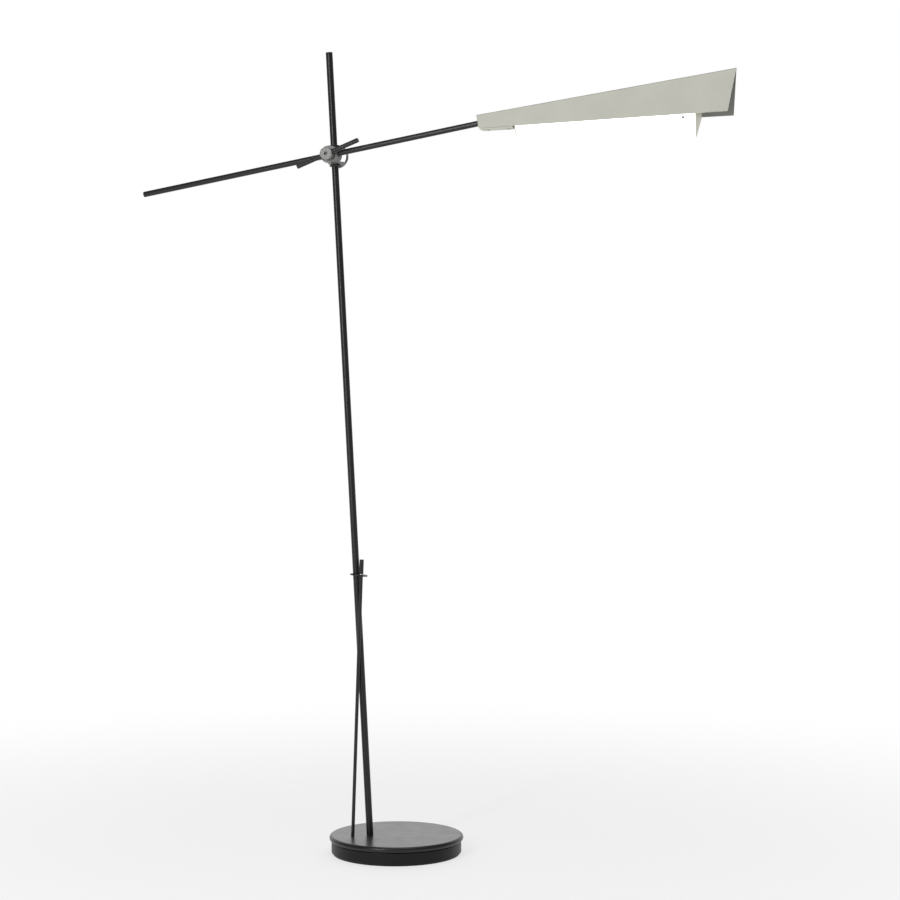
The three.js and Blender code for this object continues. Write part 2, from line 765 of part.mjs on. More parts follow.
function makeCollar() {
  const body = turned([
    [0, flangeRear],
    [flangeRadius, flangeRear],
    [flangeRadius, flangeRear + flangeThickness],
    [neckRadius, flangeRear + flangeThickness],
    [neckRadius, collarRear],
    [cageFrontRadius, collarRear],
    [cageFrontRadius, collarFront - edgeChamfer],
    [cageFrontRadius - edgeChamfer, collarFront],
    [0, collarFront],
  ], broad);
  const beyond = 2 * cageFrontRadius;
  const tools = [
    rodAlongX(collarBoreRadius, -beyond, beyond, 0, armForward, medium),
    rod(padRadius + gap, flangeRear - overrun, armForward),
    rod(screwRadius + runningGap, armForward, collarFront + overrun),
  ];
  add(collar, 'arm_collar', cut(body, ...tools), satinSteel);
  add(collar, 'pressure_pad', rod(padRadius, padRear, padFront), blackPlastic);

  const halfLiner = cageFrontRadius + linerOverhang;
  const liner = ring(armRadius + runningGap, linerRadius, -halfLiner, halfLiner);
  liner.rotateY(Math.PI / 2);
  liner.translate(0, 0, armForward);
  add(collar, 'arm_liner', liner, blackPlastic);
}

function makeKnob() {
  const washerFront = thrustWasherRear + thrustWasherThickness;
  const washer = ring(screwRadius + runningGap, thrustWasherRadius, thrustWasherRear, washerFront);
  add(collar, 'thrust_washer', washer, brightSteel);

  const tommyHole = rodAlongX(tommyRadius + runningGap, -2 * knobRadius, 2 * knobRadius, 0, 0);
  tommyHole.rotateZ(tommyAngle);
  tommyHole.translate(0, 0, tommyForward);
  const knob = turned([
    [0, screwTip],
    [screwRadius, screwTip],
    [screwRadius, knobRear],
    [knobRadius - edgeChamfer, knobRear],
    [knobRadius, knobRear + edgeChamfer],
    [knobRadius, knobFace - edgeChamfer],
    [knobRadius - edgeChamfer, knobFace],
    [0, knobFace],
  ], broad);
  const grubHole = rod(grubRadius + gap, tommyForward, knobFace + overrun);
  add(collar, 'clamp_knob', cut(knob, tommyHole, grubHole), satinSteel);

  const bar = turned([
    [0, -tommyLength / 2],
    [tommyRadius - barChamfer, -tommyLength / 2],
    [tommyRadius, barChamfer - tommyLength / 2],
    [tommyRadius, tommyLength / 2 - barChamfer],
    [tommyRadius - barChamfer, tommyLength / 2],
    [0, tommyLength / 2],
  ], coarse);
  bar.rotateY(Math.PI / 2);
  bar.translate(tommyOffset, 0, 0);
  bar.rotateZ(tommyAngle);
  bar.translate(0, 0, tommyForward);
  add(collar, 'tommy_bar', bar, blackPaint);

  const grubFront = grubRear + grubLength;
  const socket = rod(grubSocketRadius, grubFront - grubSocketDepth, grubFront + overrun, 6);
  const grub = cut(rod(grubRadius, grubRear, grubFront), socket);
  add(collar, 'knob_grub_screw', grub, darkSteel);
}

// ---------------------------------------------------------------- arm

function makeArm() {
  const boreRadius = armRadius - armWall;
  const tubeStart = armCapThickness + gap - armTail;
  const tube = ring(boreRadius, armRadius, tubeStart, armReach);
  tube.rotateY(Math.PI / 2);
  add(arm, 'arm_tube', tube, blackPaint);

  const cap = tubeCap(armRadius, boreRadius, armCapThickness, -tubeStart);
  cap.rotateY(-Math.PI / 2);
  add(arm, 'arm_end_cap', cap, blackPlastic);

  const spigotRadius = boreRadius - gap;
  const spigotEnds = [armReach - spigotInArm, armReach + spigotInHead];
  const spigot = ring(spigotRadius - spigotWall, spigotRadius, ...spigotEnds, coarse);
  spigot.rotateY(Math.PI / 2);
  add(arm, 'head_spigot', spigot, brightSteel);
}

// ---------------------------------------------------------------- head

const panelAngle = Math.atan(flare);
const sheetAcross = sheet / Math.cos(panelAngle);       // the sheet's thickness, measured across
const sheetDown = sheet / Math.sin(panelAngle);         // and measured down from the ridge

// Height of the arm's axis above the lower edges.
function spigotAxisHeight(x) {
  return headDrop / Math.cos(headDroop) + x * Math.tan(headDroop);
}

// The panels clear the arm where the lower edges start, and the ridge rises from there to its far end.
const ridgeAtStart = spigotAxisHeight(0) + (armRadius + sheet + shadeOverArm) / Math.sin(panelAngle);
const ridgeSlope = (ridgeEndHeight - ridgeAtStart) / (edgeLength + ridgeBeyond);

function ridgeHeight(x) {
  return ridgeAtStart + x * ridgeSlope;
}

function ridgePoint(x) {
  return { x, z: ridgeHeight(x) };
}

// Half the shade's outside width at a height above its lower edges.
function outsideHalfWidth(x, z) {
  return flare * (ridgeHeight(x) - z);
}

// Half the room inside the shade, less the gap to what fits there.
function insideHalfWidth(x, z) {
  return outsideHalfWidth(x, z) - sheetAcross - gap;
}

// One end of the folded sheet. The ridge and the lower edges end at different places along X.
function shadeSection(edgeX, ridge) {
  const inward = ridge.x - edgeX;
  const share = (ridgeHeight(edgeX) - sheetDown) / (ridge.z - ridgeSlope * inward);
  const outside = outsideHalfWidth(edgeX, 0);
  const inside = outside - sheetAcross;
  return [
    [edgeX, -outside, 0],
    [ridge.x, 0, ridge.z],
    [edgeX, outside, 0],
    [edgeX, inside, 0],
    [edgeX + share * inward, 0, share * ridge.z],
    [edgeX, -inside, 0],
  ];
}

// A four-sided section that fills the shade's inside from one height to another.
function fillSection(x, bottom, top) {
  const low = insideHalfWidth(x, bottom);
  const high = insideHalfWidth(x, top);
  return [[x, -low, bottom], [x, low, bottom], [x, high, top], [x, -high, top]];
}

function makeShade() {
  const start = shadeSection(0, ridgePoint(-ridgeBehind));
  const end = shadeSection(edgeLength, ridgePoint(edgeLength + ridgeBeyond));
  add(head, 'shade', loft(start, end), shadePaint);
}

function makeHeadBlock() {
  const sections = [blockStart, blockEnd].map((x) => {
    return fillSection(x, blockBottom, ridgeHeight(x) - blockTopDepth);
  });
  const spigotBoreEnds = [armReach - overrun, armReach + spigotInHead + gap];
  const spigotBore = rodAlongX(armRadius - armWall, ...spigotBoreEnds, 0, 0);
  const spigotHeight = spigotAxisHeight(headGrubAt);
  const tools = [
    carried(spigotBore, arm, head),
    moved(rod(headGrubRadius + gap, blockBottom - overrun, spigotHeight), headGrubAt, 0, 0),
  ];
  for (const x of neckScrewsAt) {
    const hole = rod(neckScrewRadius + gap, blockBottom - overrun, neckScrewTop() + gap, tiny);
    tools.push(moved(hole, x, 0, 0));
  }
  add(head, 'head_block', cut(loft(...sections), ...tools), aluminium);

  const grubTop = spigotHeight - (armRadius - armWall) - gap;
  const grub = rod(headGrubRadius, grubTop - headGrubLength, grubTop, tiny);
  add(head, 'head_grub_screw', moved(grub, headGrubAt, 0, 0), darkSteel);
}

function neckScrewTop() {
  return neckScrewLength - neckPlateThickness - gap;
}

function makeNeckPlate() {
  const top = -gap;
  const bottom = top - neckPlateThickness;
  const sections = [neckPlateStart, neckPlateEnd].map((x) => {
    const half = outsideHalfWidth(x, 0);
    return [[x, -half, bottom], [x, half, bottom], [x, half, top], [x, -half, top]];
  });
  const tools = neckScrewsAt.map((x) => {
    return moved(rod(neckScrewRadius + gap, bottom - overrun, 0, tiny), x, 0, 0);
  });
  add(head, 'neck_plate', cut(loft(...sections), ...tools), shadePaint);

  const headTop = bottom - gap;
  neckScrewsAt.forEach((x, number) => {
    const screw = turned([
      [0, headTop - neckScrewHeadThickness],
      [neckScrewHeadRadius, headTop - neckScrewHeadThickness],
      [neckScrewHeadRadius, headTop],
      [neckScrewRadius, headTop],
      [neckScrewRadius, neckScrewTop()],
      [0, neckScrewTop()],
    ], tiny);
    add(head, `neck_screw_${number + 1}`, moved(screw, x, 0, 0), shadePaint);
  });
}

function apexDepth(x) {
  const share = (x - diffuserStart) / (diffuserEnd - diffuserStart);
  return apexDepthStart + share * (apexDepthEnd - apexDepthStart);
}

// The diffuser's outside outline, from one flange round the apex to the other.
function diffuserOutline(x, lean) {
  const half = insideHalfWidth(x, 0);
  const flangeHalf = insideHalfWidth(x, diffuserFlange);
  const points = [
    [-flangeHalf, diffuserFlange],
    [-half, 0],
    [0, -apexDepth(x)],
    [half, 0],
    [flangeHalf, diffuserFlange],
  ];
  return points.map(([y, z]) => [x + lean * z, y, z]);
}

// The same outline, followed by the inside of the wall on the way back.
function diffuserSection(x, lean) {
  const half = insideHalfWidth(x, 0);
  const depth = apexDepth(x);
  const side = Math.hypot(half, depth);
  const wallAcross = diffuserWall / Math.cos(panelAngle);
  const cornerZ = (diffuserWall * side - wallAcross * depth) / half;
  const flangeHalf = insideHalfWidth(x, diffuserFlange) - wallAcross;
  const back = [
    [flangeHalf, diffuserFlange],
    [half - wallAcross, cornerZ],
    [0, (diffuserWall * side) / half - depth],
    [wallAcross - half, cornerZ],
    [-flangeHalf, diffuserFlange],
  ];
  return [...diffuserOutline(x, lean), ...back.map(([y, z]) => [x + lean * z, y, z])];
}

// The switch's frame: Z points out of the diffuser's front side, square to it.
function switchFrame() {
  const half = insideHalfWidth(switchAt, 0);
  const depth = apexDepth(switchAt);
  const side = Math.hypot(half, depth);
  const y = -half + (switchDrop * half) / side;
  const z = -(switchDrop * depth) / side;
  const frame = child(head, switchAt, y, z);
  frame.rotation.x = Math.PI / 2 + Math.atan2(half, depth);
  return frame;
}

function makeLight() {
  const onSwitch = switchFrame();
  const body = loft(diffuserSection(diffuserStart, 0), diffuserSection(diffuserEnd, diffuserEndLean));
  const hole = carried(rod(buttonRadius + gap, -2 * diffuserWall, 2 * diffuserWall), onSwitch, head);
  add(head, 'diffuser', cut(body, hole), opalPlastic);

  const plates = [
    ['diffuser_end_inner', diffuserStart - gap - endPlateThickness, 0],
    ['diffuser_end_outer', diffuserEnd + gap, diffuserEndLean],
  ];
  for (const [name, x, lean] of plates) {
    const first = diffuserOutline(x, lean);
    const second = first.map(([px, y, z]) => [px + endPlateThickness, y, z]);
    add(head, name, loft(first, second), palePlastic);
  }

  const carrierTop = carrierHeight + carrierThickness;
  const carrierEnds = [blockEnd + carrierFromBlock, diffuserEnd + carrierBeyond];
  const carrier = carrierEnds.map((x) => fillSection(x, carrierHeight, carrierTop));
  add(head, 'led_carrier', loft(...carrier), aluminium);
  const boardTop = carrierHeight - gap;
  const boardEnds = [diffuserStart + boardMargin, diffuserEnd - boardMargin];
  const board = box(...boardEnds, -boardHalfWidth, boardHalfWidth, boardTop - boardThickness, boardTop);
  add(head, 'led_board', board, whiteBoard);

  const bodyFront = -(diffuserWall + gap);
  const headRear = bodyFront + gap;
  const pocketFloor = headRear - buttonTravel - 2 * gap;
  const stemRear = headRear - buttonStemLength;
  const stemBoreFloor = stemRear - buttonTravel - gap;
  const bodyRear = bodyFront - switchLength;
  const housing = cut(
    rod(switchRadius, bodyRear, bodyFront),
    rod(buttonRadius + gap, pocketFloor, bodyFront + overrun),
    rod(buttonStemRadius + gap, stemBoreFloor, bodyFront),
  );
  add(onSwitch, 'switch_body', housing, blackPlastic);
  const button = turned([
    [0, stemRear],
    [buttonStemRadius, stemRear],
    [buttonStemRadius, headRear],
    [buttonRadius, headRear],
    [buttonRadius, buttonStandOut],
    [0, buttonStandOut],
  ], coarse);
  add(onSwitch, 'switch_button', button, palePlastic);
}

// ---------------------------------------------------------------- assembly

makeBasePlate();
makeBaseDrum();
makeBaseFittings();
makePole();
makeBrace();
makeTieDisc();
makeCage();
makeBush('upper_bush', 1);
makeBush('lower_bush', -1);
makeSwivelRings();
makeCollar();
makeKnob();
makeArm();
makeShade();
makeHeadBlock();
makeNeckPlate();
makeLight();

export default lamp;
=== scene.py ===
import json
import math

import bmesh
import bpy
from mathutils import Matrix, Vector


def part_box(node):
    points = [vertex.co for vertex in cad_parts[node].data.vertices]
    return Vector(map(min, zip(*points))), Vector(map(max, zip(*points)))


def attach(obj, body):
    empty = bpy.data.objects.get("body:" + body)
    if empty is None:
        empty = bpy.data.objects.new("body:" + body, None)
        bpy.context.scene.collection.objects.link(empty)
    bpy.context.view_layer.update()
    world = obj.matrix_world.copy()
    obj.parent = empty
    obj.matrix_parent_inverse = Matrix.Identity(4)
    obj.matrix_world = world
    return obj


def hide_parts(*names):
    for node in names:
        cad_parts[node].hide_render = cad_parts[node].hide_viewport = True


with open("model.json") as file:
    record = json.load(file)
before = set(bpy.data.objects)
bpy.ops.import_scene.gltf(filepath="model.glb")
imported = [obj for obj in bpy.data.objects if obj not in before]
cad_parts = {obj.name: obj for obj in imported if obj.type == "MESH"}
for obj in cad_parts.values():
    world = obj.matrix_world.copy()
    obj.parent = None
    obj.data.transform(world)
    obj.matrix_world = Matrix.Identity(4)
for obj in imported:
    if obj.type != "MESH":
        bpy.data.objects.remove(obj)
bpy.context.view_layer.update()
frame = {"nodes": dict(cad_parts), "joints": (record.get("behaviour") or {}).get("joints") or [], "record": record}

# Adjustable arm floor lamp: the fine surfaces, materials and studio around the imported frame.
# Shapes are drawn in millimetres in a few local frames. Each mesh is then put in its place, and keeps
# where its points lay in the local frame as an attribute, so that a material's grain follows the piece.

MM = 0.001
GAP = 0.3                # between pieces that touch
RUNNING_GAP = 0.2        # between a shaft and the bore that it moves in
OVERRUN = 1.0            # how far a cutting tool runs past the face that it cuts

# ------------------------ sizes, as in the part's design

BASE_RADIUS = 118
PLATE_THICKNESS = 10
PLATE_EDGE = 4.8
DRUM_INSET = 3.6         # from the plate's edge
DRUM_HEIGHT = 20
FELT_INSET = 2.4         # from the drum's edge
FELT_THICKNESS = 2.6
DRUM_RADIUS = BASE_RADIUS - DRUM_INSET
FELT_RADIUS = DRUM_RADIUS - FELT_INSET
DRUM_BOTTOM = FELT_THICKNESS + GAP
DRUM_TOP = DRUM_BOTTOM + DRUM_HEIGHT
PLATE_BOTTOM = DRUM_TOP + GAP
PLATE_TOP = PLATE_BOTTOM + PLATE_THICKNESS
GLAND_RADIUS = 5
GLAND_BORE = 2.9
GLAND_FLANGE = 6.6
GLAND_FLANGE_THICKNESS = 2.4
BASE_SCREW_INSET = 20.4  # from the drum's edge
BASE_SCREW_CIRCLE = DRUM_RADIUS - BASE_SCREW_INSET
BASE_SCREW_ANGLES = (90, 210, 330)
BASE_SCREW_RADIUS = 3
BASE_SCREW_HEAD = 5.6
BASE_SCREW_HEAD_THICKNESS = 3.4
POCKET_ROOM = 2.5        # around the washer or nut under the plate

POLE_RADIUS = 6
POLE_WALL = 1.5
POLE_BORE = POLE_RADIUS - POLE_WALL
POLE_LENGTH = 1373.5
POLE_STUD = 4
POLE_SEAT = 2
POLE_WASHER = 9
POLE_STUD_END = 20.1
CAP_THICKNESS = 2
CLAMP_BELOW_TOP = 178.9
CLAMP_HEIGHT = POLE_LENGTH - CLAMP_BELOW_TOP

BRACE_FOOT = (-76.4, -14)
BRACE_LEAN = math.radians(1.9)
BRACE_RADIUS = 3
BRACE_STUD = 2.4
BRACE_STUD_END = 17.1
BRACE_NUT = 4.6
TIE_HEIGHT = 458
TIE_THICKNESS = 2.4
TIE_RIM = 2.5
TIE_TILT = math.radians(6.3)
TIE_WASHER = 4.4
TIE_WASHER_THICKNESS = 1.2
SLEEVE_RADIUS = 3.75
SLEEVE_LENGTH = 25
SLEEVE_TOP_WALL = 6

BUSH_WALL = 1
BUSH_FLANGE_WIDTH = 2.5
BUSH_FLANGE_THICKNESS = 1.4
BUSH_BORE = POLE_RADIUS + RUNNING_GAP
BUSH_RADIUS = BUSH_BORE + BUSH_WALL
BUSH_FLANGE = BUSH_RADIUS + BUSH_FLANGE_WIDTH
CAGE_ROOM = 6            # around the bushes
CAGE_BRIDGE = 3.4        # material that each bush stands in
CAGE_REAR_FLARE = 7.2
CAGE_BEHIND_POLE = 9.5
CAGE_INSIDE = BUSH_RADIUS + CAGE_ROOM
CAGE_FLAT = CAGE_INSIDE + CAGE_BRIDGE
CAGE_REAR_RADIUS = CAGE_INSIDE + CAGE_REAR_FLARE
CAGE_REAR = -(POLE_RADIUS + CAGE_BEHIND_POLE)
CAGE_RIM_THICKNESS = 2.5
CAGE_RIM_WIDTH = 3.4
CAGE_FLOOR = 1
WINDOW_LIP = 0.8
WINDOW_OVERLAP = 0.05    # how far the window's cut runs back past the end of the rear room
WINDOW_INSET = 2.2
WINDOW_HALF_HEIGHT = CAGE_INSIDE - WINDOW_INSET
PAD_RADIUS = 4.8
FLANGE_RADIUS = 10.6
FLANGE_THICKNESS = 1.5
FLANGE_HOLD = 2          # how far the swivel rings reach over the flange
NECK_RADIUS = FLANGE_RADIUS - FLANGE_HOLD
RING_THICKNESS = 1.5
FLANGE_TO_SCREWS = 2.5
SCREWS_TO_RIM = 2.2
RING_SCREW_CIRCLE = FLANGE_RADIUS + FLANGE_TO_SCREWS
CAGE_FRONT_RADIUS = RING_SCREW_CIRCLE + SCREWS_TO_RIM
RING_SCREW_HEAD = 1.45
RING_SCREW_SHANK = 0.9
RING_SCREW_HEAD_THICKNESS = 0.7
RING_SCREW_LENGTH = 4.2
RING_SCREW_COUNT = 4
SLOT_HALF_LENGTH = 2
SLOT_HALF_WIDTH = 0.2
SLOT_DEPTH = 0.35
ARM_RADIUS = 5
COLLAR_WALL = 0.8        # behind the arm's bore
COLLAR_NOSE = 5.1        # thread in front of the arm's bore
LINER_WALL = 1.1
LINER_RADIUS = ARM_RADIUS + LINER_WALL
LINER_OVERHANG = 0.7
SCREW_RADIUS = 3.9
THRUST_WASHER = 9
THRUST_WASHER_THICKNESS = 1
KNOB_RADIUS = 10.95
KNOB_BACK_WALL = 1.6
TOMMY_RADIUS = 4
TOMMY_LENGTH = 121
TOMMY_OFFSET = 1.5
TOMMY_ANGLE = math.radians(11.4)
GRUB_RADIUS = 2.8
GRUB_LENGTH = 1.9
GRUB_RECESS = 0.4
GRUB_SOCKET = 1.5
GRUB_SOCKET_DEPTH = 1.2

# places along the clamp's screw, forwards from the pole's axis
PAD_REAR = POLE_RADIUS + GAP
FLANGE_REAR = PAD_REAR + CAGE_FLOOR + GAP
FLANGE_FRONT = FLANGE_REAR + FLANGE_THICKNESS
CAGE_FRONT = FLANGE_FRONT + GAP
RING_REAR = CAGE_FRONT + GAP
RING_FRONT = RING_REAR + RING_THICKNESS
RING_SCREW_TIP = RING_FRONT - RING_SCREW_LENGTH
COLLAR_REAR = RING_FRONT + GAP
COLLAR_BORE = LINER_RADIUS + GAP
ARM_FORWARD = COLLAR_REAR + COLLAR_WALL + COLLAR_BORE
SCREW_TIP = ARM_FORWARD + LINER_RADIUS + GAP
COLLAR_FRONT = ARM_FORWARD + COLLAR_BORE + COLLAR_NOSE
WASHER_REAR = COLLAR_FRONT + GAP
WASHER_FRONT = WASHER_REAR + THRUST_WASHER_THICKNESS
KNOB_REAR = WASHER_FRONT + GAP
TOMMY_FORWARD = KNOB_REAR + KNOB_BACK_WALL + RUNNING_GAP + TOMMY_RADIUS
GRUB_REAR = TOMMY_FORWARD + TOMMY_RADIUS + GAP
GRUB_FRONT = GRUB_REAR + GRUB_LENGTH
KNOB_FACE = GRUB_FRONT + GRUB_RECESS

ARM_WALL = 1.2
ARM_BORE = ARM_RADIUS - ARM_WALL
ARM_TAIL = 363
ARM_REACH = 275
ARM_CAP_THICKNESS = 2

HEAD_DROP = 10.1
HEAD_DROOP = math.radians(8.04)
SHEET = 1
FLARE = 0.41
PANEL_ANGLE = math.atan(FLARE)
SHEET_ACROSS = SHEET / math.cos(PANEL_ANGLE)
EDGE_LENGTH = 428.5
RIDGE_BEHIND = 7.6
RIDGE_BEYOND = 11.3
RIDGE_END_HEIGHT = 75.7
SHADE_OVER_ARM = 0.35
BLOCK = (1.5, 57)        # (start, end) along the head, as for the plate, diffuser and carrier
BLOCK_TOP_DEPTH = 6
BLOCK_BOTTOM = 1
HEAD_GRUB_RADIUS = 2
SPIGOT_END_WALL = 7
SPIGOT_IN_HEAD = BLOCK[1] - SPIGOT_END_WALL
NECK_PLATE = (2, 60)
NECK_PLATE_THICKNESS = 2
NECK_SCREWS = (14, 50)   # the places of the two screws
NECK_SCREW_RADIUS = 1.5
NECK_SCREW_HEAD = 2.7
NECK_SCREW_HEAD_THICKNESS = 1.3
NECK_SCREW_TOP = 5.7
NECK_SOCKET = 0.7 * NECK_SCREW_RADIUS
NECK_SOCKET_DEPTH = 0.9
DIFFUSER = (65, 374)
DIFFUSER_WALL = 2
DIFFUSER_FLANGE = 7.7
APEX_DEPTHS = (14.3, 36.6)    # at the diffuser's start and end
END_LEAN = 0.135
END_PLATE = 1.6
CARRIER = (58, 380.4)
CARRIER_HEIGHT = DIFFUSER_FLANGE + GAP
CARRIER_THICKNESS = 2.6
SWITCH_INSET = 20
SWITCH_AT = DIFFUSER[1] - SWITCH_INSET
SWITCH_DROP = 5.5
BUTTON_RADIUS = 2.4
BUTTON_STAND_OUT = 2
BUTTON_REAR = -2
BUTTON_STEM = 1.4
BUTTON_STEM_LENGTH = 3.8

# segments around a circle, or along an arc
ROUND = 96
FINE_STEPS = 64
MEDIUM_STEPS = 48
COARSE_STEPS = 32
TINY_STEPS = 24
HEXAGON = 6
PLATE_EDGE_STEPS = 20
ARC_STEPS = 5

ON_AXIS = 1e-6           # a profile's point nearer the axis than this lies on it
MERGE_DISTANCE = 1e-4
LONGEST_REACH = 0.45     # how much of an outline's side one rounded corner may take up

# ------------------------ frames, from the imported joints

joints = {joint["name"]: joint for joint in frame["joints"]}


def place(origin, x, y, z):
    """A local frame as an object matrix, from its origin and its three unit axes."""
    matrix = Matrix((x, y, z)).transposed().to_4x4()
    matrix.translation = origin
    return matrix


def shifted(matrix, x=0, y=0, z=0):
    """The same frame, moved by millimetres along its own axes."""
    return matrix @ Matrix.Translation(Vector((x, y, z)) * MM)


clamp_point = Vector(joints["clamp_swivel"]["pos_m"])
up_pole = Vector(joints["clamp_swivel"]["axis"]).normalized()
screw_axis = Vector(joints["arm_pitch"]["axis"]).normalized()
arm_point = Vector(joints["arm_roll"]["pos_m"])
along_arm = Vector(joints["arm_roll"]["axis"]).normalized()
front = Vector((0, -1, 0))

pole_x = up_pole.cross(front).normalized() * -1
on_floor = Matrix.Identity(4)
on_pole = place(clamp_point - up_pole * CLAMP_HEIGHT * MM, pole_x, up_pole.cross(pole_x), up_pole)
on_clamp = place(clamp_point, up_pole.cross(screw_axis), up_pole, screw_axis)
on_collar = place(clamp_point, along_arm, screw_axis.cross(along_arm), screw_axis)
on_arm = place(arm_point, along_arm, -screw_axis, screw_axis.cross(along_arm))
on_head = shifted(on_arm, ARM_REACH - GAP, 0, -HEAD_DROP) @ Matrix.Rotation(HEAD_DROOP, 4, "Y")
brace_foot = Vector((*BRACE_FOOT, PLATE_TOP)) * MM
on_brace = Matrix.Translation(brace_foot) @ Matrix.Rotation(BRACE_LEAN, 4, "Y")
tommy_frame = shifted(on_collar, z=TOMMY_FORWARD) @ Matrix.Rotation(TOMMY_ANGLE, 4, "Z")

# ------------------------ mesh helpers


def corner_arc(before, corner, after, radius):
    """The points that round one corner of an outline."""
    corner = Vector(corner)
    back = Vector(before) - corner
    ahead = Vector(after) - corner
    half = back.angle(ahead) / 2
    reach = min(radius / math.tan(half), LONGEST_REACH * back.length, LONGEST_REACH * ahead.length)
    start = corner + back.normalized() * reach
    end = corner + ahead.normalized() * reach
    points = []
    for step in range(ARC_STEPS + 1):
        t = step / ARC_STEPS
        points.append((1 - t) ** 2 * start + 2 * t * (1 - t) * corner + t * t * end)
    return [tuple(point) for point in points]


def rounded(points, radii, closed=False):
    """An outline with its corners rounded: radii is one number, or one for each point (0 keeps it sharp)."""
    if not isinstance(radii, (list, tuple)):
        radii = [radii] * len(points)
    count = len(points)
    result = []
    for i, point in enumerate(points):
        at_end = not closed and i in (0, count - 1)
        if at_end or radii[i] <= 0:
            result.append(tuple(point))
        else:
            result += corner_arc(points[i - 1], point, points[(i + 1) % count], radii[i])
    return result


def turned(profile, closed=False, steps=ROUND):
    """A solid turned about Z from (radius, height) points. An open profile starts and ends on the axis."""
    mesh = bmesh.new()
    rings = []
    for radius, height in profile:
        if radius < ON_AXIS:
            rings.append([mesh.verts.new((0, 0, height))])
            continue
        angles = [2 * math.pi * i / steps for i in range(steps)]
        rings.append([mesh.verts.new((radius * math.cos(a), radius * math.sin(a), height)) for a in angles])
    pairs = list(zip(rings, rings[1:]))
    if closed:
        pairs.append((rings[-1], rings[0]))
    for low, high in pairs:
        for i in range(steps):
            j = (i + 1) % steps
            if len(low) == 1 and len(high) == 1:
                break
            if len(low) == 1:
                mesh.faces.new((low[0], high[j], high[i]))
            elif len(high) == 1:
                mesh.faces.new((low[i], low[j], high[0]))
            else:
                mesh.faces.new((low[i], low[j], high[j], high[i]))
    bmesh.ops.recalc_face_normals(mesh, faces=mesh.faces)
    return mesh


def lathed(profile, radii, closed=False, steps=ROUND):
    """A turned solid whose profile has its corners rounded."""
    return turned(rounded(profile, radii, closed), closed, steps)


def rod(radius, start, end, chamfer=0.0, steps=ROUND):
    profile = [(0, start), (radius, start), (radius, end), (0, end)]
    return lathed(profile, chamfer, steps=steps)


def tube(inner, outer, start, end, edge):
    profile = [(inner, start), (outer, start), (outer, end), (inner, end)]
    return lathed(profile, edge, closed=True)


def block(x, y, z):
    """A box from three (low, high) pairs."""
    mesh = bmesh.new()
    bmesh.ops.create_cube(mesh, size=1)
    size = Vector((x[1] - x[0], y[1] - y[0], z[1] - z[0]))
    middle = Vector((x[0] + x[1], y[0] + y[1], z[0] + z[1])) / 2
    for vertex in mesh.verts:
        vertex.co = Vector(a * b for a, b in zip(vertex.co, size)) + middle
    return mesh


def loft(first, second):
    """A solid between two outlines with the same number of points, each a list of (x, y, z)."""
    mesh = bmesh.new()
    a = [mesh.verts.new(point) for point in first]
    b = [mesh.verts.new(point) for point in second]
    count = len(a)
    for i in range(count):
        j = (i + 1) % count
        mesh.faces.new((a[i], a[j], b[j], b[i]))
    mesh.faces.new(a)
    mesh.faces.new(b)
    bmesh.ops.recalc_face_normals(mesh, faces=mesh.faces)
    return mesh


def laid(mesh, turn, x=0, y=0, z=0):
    """The mesh turned by a matrix, then moved."""
    mesh.transform(Matrix.Translation((x, y, z)) @ turn)
    return mesh


ALONG_X = Matrix.Rotation(math.pi / 2, 4, "Y")
ALONG_Y = Matrix.Rotation(-math.pi / 2, 4, "X")
UPRIGHT = Matrix.Identity(4)


def carried(mesh, source, target):
    """A shape drawn in one frame, as it lies in another. Frames are in metres and shapes in millimetres."""
    change = target.inverted() @ source
    change.translation /= MM
    mesh.transform(change)
    return mesh


def as_object(mesh, name):
    data = bpy.data.meshes.new(name)
    mesh.to_mesh(data)
    mesh.free()
    made = bpy.data.objects.new(name, data)
    bpy.context.scene.collection.objects.link(made)
    return made


def drop(thing):
    data = thing.data
    bpy.data.objects.remove(thing)
    bpy.data.meshes.remove(data)


def carve(mesh, tools):
    """The mesh with each tool cut away."""
    body = as_object(mesh, "carved")
    cutters = [as_object(tool, "cutter") for tool in tools]
    for cutter in cutters:
        modifier = body.modifiers.new("cut", "BOOLEAN")
        modifier.operation = "DIFFERENCE"
        modifier.solver = "EXACT"
        modifier.object = cutter
    bpy.context.view_layer.update()
    result = bmesh.new()
    result.from_object(body, bpy.context.evaluated_depsgraph_get())
    drop(body)
    for cutter in cutters:
        drop(cutter)
    return result


SHARP_ANGLE = math.radians(32)
LOCAL = "local_place"


def keep_local(mesh):
    """Stores each point's local place, in metres, for the materials."""
    layer = mesh.verts.layers.float_vector.new(LOCAL)
    for vertex in mesh.verts:
        vertex[layer] = vertex.co


def piece(name, mesh, matrix, body, material, nodes, partly=None):
    """One finished piece: it rides on a body and stands for its CAD nodes.

    partly, where given, is (a test of a face's local centre and normal, the material for those faces).
    """
    bmesh.ops.remove_doubles(mesh, verts=mesh.verts, dist=MERGE_DISTANCE)
    bmesh.ops.scale(mesh, vec=(MM, MM, MM), verts=mesh.verts)
    mesh.normal_update()
    keep_local(mesh)
    for face in mesh.faces:
        face.smooth = True
        if partly:
            face.material_index = int(partly[0](face.calc_center_median(), face.normal))
    for edge in mesh.edges:
        if len(edge.link_faces) == 2:
            edge.smooth = edge.calc_face_angle(0) < SHARP_ANGLE
    mesh.transform(matrix)
    made = as_object(mesh, name)
    weighted = made.modifiers.new("normals", "WEIGHTED_NORMAL")
    weighted.keep_sharp = True
    made.data.materials.append(material)
    if partly:
        made.data.materials.append(partly[1])
    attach(made, body)
    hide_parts(*nodes)


# ------------------------ materials

NOISE_RANGE = (0.3, 0.7)     # where most of a noise's values lie


